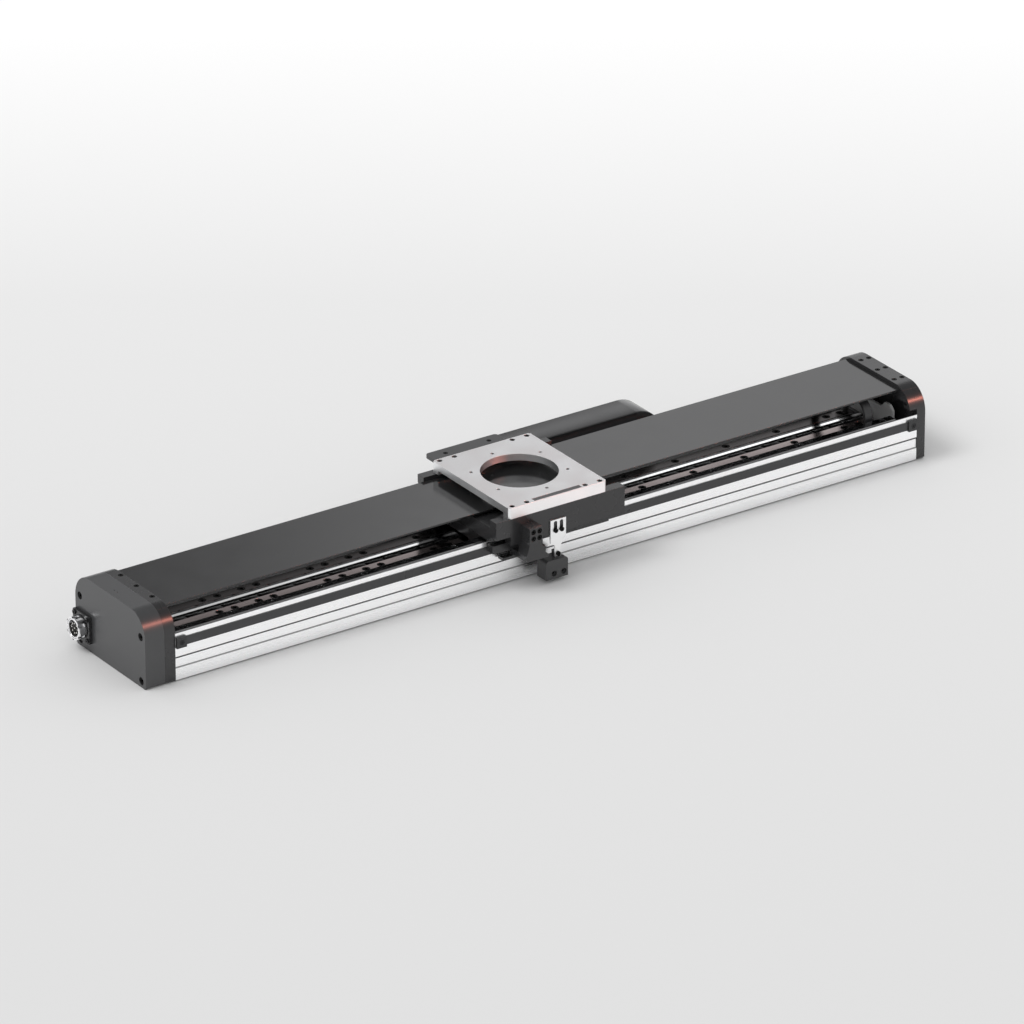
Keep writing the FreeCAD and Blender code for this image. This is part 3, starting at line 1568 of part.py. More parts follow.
def main():
    os.makedirs("parts", exist_ok=True)
    make_base()
    make_rails()
    make_track()
    make_left_end()
    make_right_end()
    make_cover()
    make_end_screws()
    make_end_sheet()
    make_stop_arch()
    make_buffers()
    make_scale()
    make_connector()
    make_top_plate()
    make_frame()
    make_bars()
    make_carriage_screws()
    make_runners()
    make_coil()
    make_readhead()
    make_readhead_bracket()
    make_hall_module()
    make_sensor_bracket()
    make_limit_sensor()
    make_sensor_screws()
    make_carrier_arm()
    make_moving_clamp()
    make_cable_carrier()
    make_tray()
    make_fixed_clamp()


main()
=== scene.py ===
"""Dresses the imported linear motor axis: finishes, finer pieces, floor, light and camera."""

import logging
import math
from dataclasses import dataclass, field
from enum import Enum
from typing import Callable, Iterable

import bpy
from mathutils import Euler, Matrix, Vector


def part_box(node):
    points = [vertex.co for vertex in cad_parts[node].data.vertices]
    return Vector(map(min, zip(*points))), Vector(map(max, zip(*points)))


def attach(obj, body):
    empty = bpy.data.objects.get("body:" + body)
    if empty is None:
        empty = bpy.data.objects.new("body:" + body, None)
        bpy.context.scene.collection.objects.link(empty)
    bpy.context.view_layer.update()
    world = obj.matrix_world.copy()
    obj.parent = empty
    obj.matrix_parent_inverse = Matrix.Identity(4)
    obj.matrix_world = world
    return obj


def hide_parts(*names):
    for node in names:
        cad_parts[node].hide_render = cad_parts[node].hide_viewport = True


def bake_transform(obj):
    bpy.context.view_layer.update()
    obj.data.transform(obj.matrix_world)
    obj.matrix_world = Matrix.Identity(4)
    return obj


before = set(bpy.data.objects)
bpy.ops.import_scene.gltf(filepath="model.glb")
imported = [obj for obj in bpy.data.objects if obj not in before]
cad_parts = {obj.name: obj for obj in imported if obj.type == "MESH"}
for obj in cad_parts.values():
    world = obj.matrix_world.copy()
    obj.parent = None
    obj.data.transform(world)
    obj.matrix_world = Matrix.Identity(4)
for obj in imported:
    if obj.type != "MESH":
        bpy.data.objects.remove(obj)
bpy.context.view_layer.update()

log = logging.getLogger("axis")

MM = 0.001
Colour = tuple[float, float, float]

# Sockets of a Mix node that mixes colours.
MIX_A, MIX_B, MIX_RESULT = 6, 7, 2
# A normal with at least this share along an axis faces along it.
SQUARE = 0.99
# Distances under this, in metres, count as none.
TOUCH = 0.00001
# Edges that are longer than this along X, in metres, run along it.
ALONG = 0.001
# How coarse the broad noise of a finish is next to the fine one.
BROAD_SHARE = 0.012
# Noise values between which the tone and the gloss of a finish go from lowest to highest.
TONE_SPAN = (0.35, 0.65)
GLOSS_SPAN = (0.3, 0.7)
# Cosine between the true and the rounded normal: on an edge, and off it.
EDGE_SPAN = (0.80, 0.99)
# Worn edges have so many times the base colour, and so much more.
WORN_GAIN, WORN_LIFT = 2.2, 0.05
LEAST_ROUGHNESS = 0.02
# A ramp of painted shade stripes reaches so many times as far as its last stop.
RAMP_ROOM = 1.5


class Grain(Enum):
    """How a surface is worked, as the noise that its finish gets."""

    SATIN = "satin"
    DRAWN = "drawn"
    GROUND = "ground"
    BLASTED = "blasted"
    MOULDED = "moulded"
    POLISHED = "polished"
    PLATED = "plated"


@dataclass(frozen=True)
class GrainShape:
    """The scale of a grain's noise along each axis, per metre, and how strongly it shows.

    Attributes:
        stretch: noise scale along X, Y and Z.
        bump: strength of the relief.
        depth: height of the relief, in metres.
        tone: how much the colour wanders, as a share.
        gloss: how much the roughness wanders.
    """

    stretch: tuple[float, float, float]
    bump: float
    depth: float
    tone: float
    gloss: float


GRAINS: dict[Grain, GrainShape] = {
    Grain.SATIN: GrainShape((2600, 2600, 2600), 0.06, 0.00003, 0.05, 0.015),
    Grain.DRAWN: GrainShape((5, 500, 500), 0.006, 0.00001, 0.01, 0.015),
    Grain.GROUND: GrainShape((30, 3000, 3000), 0.05, 0.00002, 0.04, 0.04),
    Grain.BLASTED: GrainShape((2200, 2200, 2200), 0.22, 0.00005, 0.05, 0.08),
    Grain.MOULDED: GrainShape((1500, 1500, 1500), 0.02, 0.00003, 0.08, 0.04),
    Grain.POLISHED: GrainShape((400, 400, 400), 0.006, 0.00001, 0.04, 0.02),
    Grain.PLATED: GrainShape((900, 900, 900), 0.006, 0.00001, 0.05, 0.03),
}


@dataclass(frozen=True)
class Finish:
    """One surface finish.

    Attributes:
        name: name of the material.
        colour: base colour, linear.
        metallic: 1 for bare metal, 0 for coats and plastic.
        roughness: mean roughness.
        grain: how the surface is worked.
        edge: radius, in metres, to which edges look rounded.
        worn: how much paler the edges are.
        specular: specular level of a coat or plastic.
    """

    name: str
    colour: Colour
    metallic: float
    roughness: float
    grain: Grain
    edge: float = 0.0004
    worn: float = 0.15
    specular: float = 0.5

    def material(self) -> bpy.types.Material:
        """Return the node material of this finish, made on first use."""
        known = bpy.data.materials.get(self.name)
        if known is not None:
            return known
        material = bpy.data.materials.new(self.name)
        material.use_nodes = True
        tree = material.node_tree
        shader = tree.nodes["Principled BSDF"]
        shader.inputs["Metallic"].default_value = self.metallic
        shader.inputs["Specular IOR Level"].default_value = self.specular
        shape = GRAINS[self.grain]
        fine = self._noise(tree, shape.stretch, 1.0)
        broad = self._noise(tree, tuple(s * BROAD_SHARE for s in shape.stretch), 3.0)
        rounded = tree.nodes.new("ShaderNodeBevel")
        rounded.samples = 4
        rounded.inputs["Radius"].default_value = self.edge
        self._colour(tree, shader, fine, broad, rounded, shape)
        self._roughness(tree, shader, broad, fine, shape)
        bump = tree.nodes.new("ShaderNodeBump")
        bump.inputs["Strength"].default_value = shape.bump
        bump.inputs["Distance"].default_value = shape.depth
        tree.links.new(fine.outputs["Fac"], bump.inputs["Height"])
        tree.links.new(rounded.outputs["Normal"], bump.inputs["Normal"])
        tree.links.new(bump.outputs["Normal"], shader.inputs["Normal"])
        return material

    @staticmethod
    def _noise(tree: bpy.types.NodeTree, stretch: tuple[float, ...], detail: float) -> bpy.types.Node:
        """Add a noise on object coordinates.

        Args:
            tree: node tree of the material.
            stretch: noise scale along each axis, per metre.
            detail: how many finer layers the noise has.

        Returns:
            The noise node.
        """
        place = tree.nodes.new("ShaderNodeTexCoord")
        mapping = tree.nodes.new("ShaderNodeMapping")
        mapping.inputs["Scale"].default_value = stretch
        noise = tree.nodes.new("ShaderNodeTexNoise")
        noise.inputs["Scale"].default_value = 1.0
        noise.inputs["Detail"].default_value = detail
        tree.links.new(place.outputs["Object"], mapping.inputs["Vector"])
        tree.links.new(mapping.outputs["Vector"], noise.inputs["Vector"])
        return noise

    def _colour(
        self,
        tree: bpy.types.NodeTree,
        shader: bpy.types.Node,
        fine: bpy.types.Node,
        broad: bpy.types.Node,
        rounded: bpy.types.Node,
        shape: GrainShape,
    ) -> None:
        """Link the colour: it wanders with both noises and is paler along edges.

        Args:
            tree: node tree of the material.
            shader: the principled shader.
            fine: the fine noise.
            broad: the broad noise.
            rounded: the bevel node that finds edges.
            shape: the grain's numbers.
        """
        ramp = tree.nodes.new("ShaderNodeValToRGB")
        low, high = ramp.color_ramp.elements
        low.position, high.position = TONE_SPAN
        low.color = (*[c * (1 - shape.tone) for c in self.colour], 1)
        high.color = (*[min(1.0, c * (1 + shape.tone)) for c in self.colour], 1)
        blend = tree.nodes.new("ShaderNodeMath")
        blend.operation = "ADD"
        half = tree.nodes.new("ShaderNodeMath")
        half.operation = "MULTIPLY"
        half.inputs[1].default_value = 0.5
        tree.links.new(fine.outputs["Fac"], blend.inputs[0])
        tree.links.new(broad.outputs["Fac"], blend.inputs[1])
        tree.links.new(blend.outputs[0], half.inputs[0])
        tree.links.new(half.outputs[0], ramp.inputs["Fac"])
        geometry = tree.nodes.new("ShaderNodeNewGeometry")
        facing = tree.nodes.new("ShaderNodeVectorMath")
        facing.operation = "DOT_PRODUCT"
        tree.links.new(rounded.outputs["Normal"], facing.inputs[0])
        tree.links.new(geometry.outputs["Normal"], facing.inputs[1])
        edge = tree.nodes.new("ShaderNodeMapRange")
        edge.inputs["From Min"].default_value = EDGE_SPAN[0]
        edge.inputs["From Max"].default_value = EDGE_SPAN[1]
        edge.inputs["To Min"].default_value = self.worn
        edge.inputs["To Max"].default_value = 0.0
        tree.links.new(facing.outputs["Value"], edge.inputs["Value"])
        rubbed = tree.nodes.new("ShaderNodeMix")
        rubbed.data_type = "RGBA"
        pale = [min(1.0, c * WORN_GAIN + WORN_LIFT) for c in self.colour]
        rubbed.inputs[MIX_B].default_value = (*pale, 1)
        tree.links.new(edge.outputs["Result"], rubbed.inputs[0])
        tree.links.new(ramp.outputs["Color"], rubbed.inputs[MIX_A])
        tree.links.new(rubbed.outputs[MIX_RESULT], shader.inputs["Base Color"])

    def _roughness(
        self,
        tree: bpy.types.NodeTree,
        shader: bpy.types.Node,
        broad: bpy.types.Node,
        fine: bpy.types.Node,
        shape: GrainShape,
    ) -> None:
        """Link the roughness to the broad noise, or to the fine one on drawn and ground metal.

        Args:
            tree: node tree of the material.
            shader: the principled shader.
            broad: the broad noise.
            fine: the fine noise.
            shape: the grain's numbers.
        """
        spread = tree.nodes.new("ShaderNodeMapRange")
        spread.inputs["From Min"].default_value = GLOSS_SPAN[0]
        spread.inputs["From Max"].default_value = GLOSS_SPAN[1]
        spread.inputs["To Min"].default_value = max(LEAST_ROUGHNESS, self.roughness - shape.gloss)
        spread.inputs["To Max"].default_value = self.roughness + shape.gloss
        source = fine if self.grain in (Grain.DRAWN, Grain.GROUND) else broad
        tree.links.new(source.outputs["Fac"], spread.inputs["Value"])
        tree.links.new(spread.outputs["Result"], shader.inputs["Roughness"])


@dataclass(frozen=True)
class ShadeBandedFinish(Finish):
    """A finish with painted shade: its tone changes in stripes along one axis.

    Attributes:
        shade_bands: stops along the axis, in metres, and how pale the finish is there.
        axis: the axis, X, Y or Z.
    """

    shade_bands: tuple[tuple[float, float], ...] = ((0.0, 1.0),)
    axis: str = "Z"

    def material(self) -> bpy.types.Material:
        """Return the node material with its painted shade, made on first use."""
        known = bpy.data.materials.get(self.name)
        if known is not None:
            return known
        material = super().material()
        tree = material.node_tree
        shader = tree.nodes["Principled BSDF"]
        place = tree.nodes.new("ShaderNodeTexCoord")
        split = tree.nodes.new("ShaderNodeSeparateXYZ")
        tree.links.new(place.outputs["Object"], split.inputs[0])
        top = self.shade_bands[-1][0] * RAMP_ROOM
        spread = tree.nodes.new("ShaderNodeMapRange")
        spread.inputs["From Max"].default_value = top
        tree.links.new(split.outputs[self.axis], spread.inputs["Value"])
        ramp = tree.nodes.new("ShaderNodeValToRGB")
        stops = ramp.color_ramp.elements
        stops.remove(stops[1])
        for step, (start, tone) in enumerate(self.shade_bands):
            stop = stops[0] if step == 0 else stops.new(start / top)
            stop.position = start / top
            stop.color = (tone, tone, tone, 1)
        tree.links.new(spread.outputs["Result"], ramp.inputs["Fac"])
        # Multiply the base colour by the painted shade.
        shade_mix = tree.nodes.new("ShaderNodeMix")
        shade_mix.data_type = "RGBA"
        shade_mix.blend_type = "MULTIPLY"
        shade_mix.inputs[0].default_value = 1.0
        before = shader.inputs["Base Color"].links[0].from_socket
        tree.links.new(before, shade_mix.inputs[MIX_A])
        tree.links.new(ramp.outputs["Color"], shade_mix.inputs[MIX_B])
        tree.links.new(shade_mix.outputs[MIX_RESULT], shader.inputs["Base Color"])
        return material


BLACK_ANODISED = Finish("black_anodised", (0.024, 0.024, 0.025), 0.0, 0.27, Grain.SATIN, worn=0.10)
# Painted light: a paler copy of the black anodising, so the left end plate reads as more brightly lit than
# the other end parts.
LIT_END_BLACK = Finish("end_plate_lit_black", (0.052, 0.053, 0.055), 0.0, 0.29, Grain.SATIN, worn=0.05)
COVER_BLACK = Finish("cover_black", (0.016, 0.016, 0.0165), 0.0, 0.15, Grain.SATIN, edge=0.0003, worn=0.05)
# Painted shade: the stripes darken the profile along its foot and along the ledges of its recessed band, near
# 17 mm and from 28 to 30 mm up.
CLEAR_ANODISED = ShadeBandedFinish(
    "clear_anodised", (0.95, 0.95, 0.955), 1.0, 0.28, Grain.DRAWN, edge=0.00012, worn=0.0,
    shade_bands=(
        (0.0, 0.40), (0.0012, 0.40), (0.0022, 1.0),
        (0.0157, 1.0), (0.0162, 0.40), (0.0172, 0.40), (0.0177, 1.0),
        (0.0278, 1.0), (0.0283, 0.15), (0.0300, 0.15), (0.0305, 1.0),
    ),
)
BEAD_BLASTED = Finish("bead_blasted", (0.86, 0.865, 0.87), 1.0, 0.40, Grain.BLASTED, edge=0.0004, worn=0.05)
GROUND_STEEL = Finish("ground_steel", (0.62, 0.62, 0.63), 1.0, 0.16, Grain.GROUND, edge=0.0002, worn=0.05)
RUNNER_STEEL = Finish("runner_steel", (0.55, 0.55, 0.56), 1.0, 0.24, Grain.GROUND, worn=0.05)
# Painted shade: the stripe darkens the flange behind the keeper, beyond 6 mm in Y, where the cover shades it.
# The colour is the plating's grey with a pinkish cast that paints in the warm reflection.
NICKEL = ShadeBandedFinish(
    "nickel_plate", (0.28, 0.235, 0.23), 1.0, 0.20, Grain.PLATED, worn=0.05,
    shade_bands=((0.0, 1.0), (0.0050, 1.0), (0.0060, 0.10)), axis="Y",
)
# Painted shade: behind its front edge the strip is darkened where the cover shades it, so only the front edge
# stays bright.
KEEPER_STEEL = ShadeBandedFinish(
    "keeper_steel", (0.98, 0.98, 0.98), 1.0, 0.14, Grain.POLISHED, edge=0.0003, worn=0.0,
    shade_bands=((0.0, 1.0), (0.0003, 1.0), (0.0008, 0.05)), axis="Y",
)
MAGNET_COAT = Finish("magnet_coat", (0.020, 0.020, 0.021), 0.0, 0.24, Grain.PLATED, edge=0.0003, worn=0.10)
BLACK_OXIDE = Finish("black_oxide", (0.018, 0.018, 0.019), 0.35, 0.40, Grain.PLATED, edge=0.00025, worn=0.20)
CHROME = Finish("bright_chrome", (0.86, 0.86, 0.87), 1.0, 0.06, Grain.POLISHED, edge=0.0003, worn=0.0)
# Painted shade: a near-black copy of the black oxide, with little gloss, so screws sunk in counterbores read
# as shaded holes.
SHADED_SCREW_BLACK = Finish(
    "screw_black_shaded", (0.004, 0.004, 0.004), 0.0, 0.55, Grain.PLATED, edge=0.0002, worn=0.0, specular=0.12
)
CONTACT = Finish("contact_silver", (0.82, 0.80, 0.76), 1.0, 0.16, Grain.POLISHED, edge=0.0001, worn=0.0)
SHEET_STEEL = Finish("sheet_steel", (0.86, 0.86, 0.86), 1.0, 0.36, Grain.GROUND, edge=0.0003, worn=0.05)
PLAIN_SHEET = Finish("plain_sheet", (0.62, 0.62, 0.62), 0.0, 0.50, Grain.GROUND, worn=0.0)
SCALE_BLACK = Finish("scale_black", (0.030, 0.030, 0.032), 0.0, 0.30, Grain.MOULDED, edge=0.0002, worn=0.05)
BLACK_PLASTIC = Finish("black_plastic", (0.022, 0.022, 0.023), 0.0, 0.45, Grain.MOULDED, worn=0.10)
SENSOR_PLASTIC = Finish(
    "sensor_plastic", (0.040, 0.040, 0.041), 0.0, 0.42, Grain.MOULDED, edge=0.0008, worn=0.12
)
RESIN = Finish("cast_resin", (0.030, 0.030, 0.032), 0.0, 0.30, Grain.MOULDED, worn=0.05)
RUBBER = Finish("buffer_rubber", (0.020, 0.020, 0.020), 0.0, 0.70, Grain.MOULDED, worn=0.05, specular=0.3)
CARRIER_PLASTIC = Finish("carrier_plastic", (0.024, 0.024, 0.025), 0.0, 0.22, Grain.MOULDED, worn=0.06)
ARM_GREY = Finish("arm_grey", (0.040, 0.041, 0.042), 0.0, 0.36, Grain.SATIN, worn=0.10)
PLATE_STRIP = Finish("plate_strip", (0.075, 0.075, 0.076), 0.0, 0.45, Grain.SATIN, edge=0.0001, worn=0.0)

NODE_FINISHES: dict[Finish, tuple[str, ...]] = {
    BLACK_ANODISED: (
        "left_end_block", "left_cover_clamp", "right_end_plate", "right_end_block", "right_cover_clamp",
        "stop_arch", "front_bar", "rear_bar", "carriage_frame", "readhead_bracket", "encoder_readhead",
        "connector_flange", "carrier_tray",
    ),
    LIT_END_BLACK: ("left_end_plate",),
    COVER_BLACK: ("cover_plate",),
    CLEAR_ANODISED: ("base_profile",),
    BEAD_BLASTED: ("top_plate",),
    GROUND_STEEL: ("front_rail", "back_rail"),
    RUNNER_STEEL: ("runner_front_left", "runner_front_right", "runner_back_left", "runner_back_right"),
    NICKEL: ("magnet_plate_short", "magnet_plates_middle", "magnet_plate_long"),
    KEEPER_STEEL: ("keeper_strip",),
    MAGNET_COAT: ("magnets",),
    BLACK_OXIDE: ("trough_screws", "scale_clip_screws", "carriage_screws", "tray_screws", "connector_screws"),
    SHADED_SCREW_BLACK: (
        "sensor_screws", "rail_screws", "track_screws", "end_plate_screws", "cover_clamp_screws",
        "top_plate_screws", "carrier_arm_screws",
    ),
    CONTACT: ("connector_pins",),
    CHROME: ("connector_ring", "connector_shell"),
    SHEET_STEEL: ("sensor_bracket",),
    PLAIN_SHEET: ("trough_end_sheet",),
    SCALE_BLACK: ("scale_strip",),
    BLACK_PLASTIC: (
        "scale_clips", "connector_insert", "hall_module", "runner_end_caps", "carrier_moving_clamp",
        "carrier_fixed_clamp",
    ),
    SENSOR_PLASTIC: ("limit_sensor",),
    RESIN: ("coil_unit",),
    RUBBER: ("buffers",),
    CARRIER_PLASTIC: ("carrier_upper_strand", "carrier_bend", "carrier_lower_strand"),
    ARM_GREY: ("carrier_arm",),
    PLATE_STRIP: ("nameplate",),
}

# The pieces that the warm lamps light.
WARM_NODES = (
    "left_end_plate", "left_end_block", "left_cover_clamp", "right_end_plate", "right_end_block",
    "right_cover_clamp", "cover_plate", "front_bar", "rear_bar", "readhead_bracket", "top_plate",
    "magnet_plate_short", "magnet_plates_middle", "magnet_plate_long",
)


class Bench:
    """Primitives, selections and edit-mode steps, all made with operators."""

    @staticmethod
    def clear() -> None:
        """Leave edit mode and deselect everything."""
        if bpy.context.object is not None and bpy.context.object.mode != "OBJECT":
            bpy.ops.object.mode_set(mode="OBJECT")
        bpy.ops.object.select_all(action="DESELECT")

    @staticmethod
    def take(piece: bpy.types.Object) -> None:
        """Make one object the only selected and active one."""
        Bench.clear()
        piece.select_set(True)
        bpy.context.view_layer.objects.active = piece

    @staticmethod
    def block(name: str, low: Vector, high: Vector) -> bpy.types.Object:
        """Add a cube between two corners.

        Args:
            name: name of the piece.
            low: lowest corner, in metres.
            high: highest corner, in metres.

        Returns:
            The new object, at the origin.
        """
        Bench.clear()
        low, high = Vector(low), Vector(high)
        bpy.ops.mesh.primitive_cube_add(size=1, location=(low + high) / 2)
        piece = bpy.context.object
        piece.name = name
        piece.scale = high - low
        bpy.ops.object.transform_apply(location=True, rotation=True, scale=True)
        return piece

    @staticmethod
    def drum(name: str, start: Vector, along: Vector, radius: float, sides: int) -> bpy.types.Object:
        """Add a cylinder from a point along a vector.

        Args:
            name: name of the piece.
            start: middle of the first end.
            along: vector from the first end to the other.
            radius: radius, in metres.
            sides: number of sides.

        Returns:
            The new object, at the origin.
        """
        Bench.clear()
        start, along = Vector(start), Vector(along)
        turn = along.to_track_quat("Z", "Y").to_euler()
        bpy.ops.mesh.primitive_cylinder_add(
            vertices=sides, radius=radius, depth=along.length, location=start + along / 2, rotation=turn
        )
        piece = bpy.context.object
        piece.name = name
        bpy.ops.object.transform_apply(location=True, rotation=True, scale=True)
        return piece

    @staticmethod
    def pick_faces(piece: bpy.types.Object, test: Callable[[Vector, Vector], bool]) -> None:
        """Enter edit mode with the faces that pass a test selected.

        Args:
            piece: the object.
            test: gets a face's centre and normal.
        """
        Bench.take(piece)
        bpy.context.tool_settings.mesh_select_mode = (False, False, True)
        mesh = piece.data
        for part in (mesh.vertices, mesh.edges):
            for item in part:
                item.select = False
        for face in mesh.polygons:
            face.select = test(face.center, face.normal)
        bpy.ops.object.mode_set(mode="EDIT")

    @staticmethod
    def pick_edges(piece: bpy.types.Object, test: Callable[[Vector, Vector], bool]) -> None:
        """Enter edit mode with the edges that pass a test selected.

        Args:
            piece: the object.
            test: gets the edge's two ends.
        """
        Bench.take(piece)
        bpy.context.tool_settings.mesh_select_mode = (False, True, False)
        mesh = piece.data
        for part in (mesh.polygons, mesh.vertices):
            for item in part:
                item.select = False
        for edge in mesh.edges:
            first, second = (mesh.vertices[i].co for i in edge.vertices)
            edge.select = test(first, second)
        bpy.ops.object.mode_set(mode="EDIT")

    @staticmethod
    def done() -> None:
        """Leave edit mode."""
        bpy.ops.object.mode_set(mode="OBJECT")

    @staticmethod
    def rounded(piece: bpy.types.Object, width: float, segments: int = 2, angle: float = 35.0) -> None:
        """Round the sharp edges with a bevel modifier and apply it.

        Args:
            piece: the object.
            width: width of the bevel, in metres.
            segments: steps across the bevel.
            angle: edges sharper than this many degrees are rounded.
        """
        Bench.take(piece)
        modifier = piece.modifiers.new("rounded", "BEVEL")
        modifier.width = width
        modifier.segments = segments
        modifier.limit_method = "ANGLE"
        modifier.angle_limit = math.radians(angle)
        modifier.use_clamp_overlap = True
        bpy.ops.object.modifier_apply(modifier=modifier.name)

    @staticmethod
    def copies(piece: bpy.types.Object, moves: Iterable[Vector]) -> list[bpy.types.Object]:
        """Copy a finished piece to other places, each copy with its own mesh.

        Args:
            piece: the piece to copy; it stays where it is.
            moves: how far each copy lies from it.

        Returns:
            The copies, each at the origin.
        """
        made = []
        for step, move in enumerate(moves):
            other = piece.copy()
            other.data = piece.data.copy()
            other.name = f"{piece.name}_{step + 2}"
            bpy.context.scene.collection.objects.link(other)
            other.data.transform(Matrix.Translation(Vector(move)))
            made.append(other)
        return made

    @staticmethod
    def joined(pieces: list[bpy.types.Object], name: str) -> bpy.types.Object:
        """Join several objects into one."""
        Bench.clear()
        for piece in pieces:
            piece.select_set(True)
        bpy.context.view_layer.objects.active = pieces[0]
        bpy.ops.object.join()
        whole = bpy.context.object
        whole.name = name
        return whole

    @staticmethod
    def smooth(piece: bpy.types.Object, angle: float = 35.0) -> None:
        """Shade smooth, with edges sharper than an angle kept sharp."""
        Bench.take(piece)
        bpy.ops.object.shade_smooth_by_angle(angle=math.radians(angle))

    @staticmethod
    def dress(piece: bpy.types.Object, finish: Finish, slot: str) -> None:
        """Give a new piece its finish."""
        piece.data.materials.clear()
        piece.data.materials.append(finish.material())


@dataclass
class CableCarrier:
    """The smooth cable carrier: two straight runs and the bend between them.

    Attributes:
        edge: rounding of the long edges, in metres.
        side_margin: height of the rims along the sides.
        side_depth: how deep the sides lie between their rims.
        bend_steps: steps round the bend.
        stub: length of the section that is spun into the bend.
        bend_x: where the bend starts, from the CAD.
    """

    edge: float = 0.9 * MM
    side_margin: float = 2.2 * MM
    side_depth: float = 0.5 * MM
    bend_steps: int = 28
    stub: float = 2 * MM
    bend_x: float = field(init=False, default=0.0)

    def build(self) -> list[bpy.types.Object]:
        """Build the three pieces.

        Returns:
            The upper run, the bend and the lower run.
        """
        bend_low, bend_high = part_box("carrier_bend")
        self.bend_x = bend_low.x
        upper = self._run("carrier_top_run", "carrier_upper_strand")
        lower = self._run("carrier_bottom_run", "carrier_lower_strand")
        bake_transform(upper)
        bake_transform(lower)
        bend = self._bend(bend_low, bend_high)
        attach(bend, "carrier_bend_body")
        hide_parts("carrier_upper_strand")
        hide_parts("carrier_lower_strand")
        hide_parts("carrier_bend")
        return [upper, bend, lower]

    @staticmethod
    def _clamp_end(node: str) -> float:
        """Return the x of a clamp's mouth."""
        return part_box(node)[1].x

    def _run(self, name: str, node: str) -> bpy.types.Object:
        """Model a straight run as a band with recessed sides.

        Args:
            name: name of the piece.
            node: the CAD node that it stands for.

        Returns:
            The run.
        """
        low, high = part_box(node)
        piece = Bench.block(name, low, high)
        Bench.pick_edges(piece, lambda a, b: abs(a.x - b.x) > ALONG)
        bpy.ops.mesh.bevel(offset=self.edge, segments=3, affect="EDGES")
        Bench.done()
        Bench.pick_faces(piece, lambda c, n: abs(n.y) > SQUARE)
        bpy.ops.mesh.inset(
            thickness=self.side_margin - self.edge, depth=-self.side_depth, use_even_offset=True
        )
        Bench.done()
        Bench.smooth(piece)
        Bench.dress(piece, CARRIER_PLASTIC, node)
        return piece

    def _bend(self, low: Vector, high: Vector) -> bpy.types.Object:
        """Model the bend: spin the band's section round half a turn, then mirror it to the right.

        Args:
            low: lowest corner of the CAD bend.
            high: highest corner of the CAD bend.

        Returns:
            The bend.
        """
        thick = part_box("carrier_lower_strand")[1].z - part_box("carrier_lower_strand")[0].z
        centre = Vector((self.bend_x, (low.y + high.y) / 2, (low.z + high.z) / 2))
        piece = Bench.block(
            "carrier_turn",
            Vector((self.bend_x - self.stub, low.y, high.z - thick)),
            Vector((self.bend_x, high.y, high.z)),
        )
        Bench.pick_edges(piece, lambda a, b: abs(a.x - b.x) > ALONG)
        bpy.ops.mesh.bevel(offset=self.edge, segments=3, affect="EDGES")
        Bench.done()
        Bench.pick_faces(piece, lambda c, n: n.x < SQUARE)
        bpy.ops.mesh.delete(type="FACE")
        Bench.done()
        Bench.pick_faces(piece, lambda c, n: True)
        bpy.ops.mesh.spin(
            steps=self.bend_steps, angle=math.pi, center=centre, axis=(0, 1, 0), use_auto_merge=False
        )
        Bench.done()
        piece.data.transform(
            Matrix.Translation(centre) @ Matrix.Diagonal((-1, 1, 1, 1)) @ Matrix.Translation(-centre)
        )
        Bench.pick_faces(piece, lambda c, n: True)
        bpy.ops.mesh.remove_doubles(threshold=TOUCH)
        bpy.ops.mesh.normals_make_consistent(inside=False)
        Bench.done()
        Bench.smooth(piece)
        Bench.dress(piece, CARRIER_PLASTIC, "carrier_bend")
        return piece


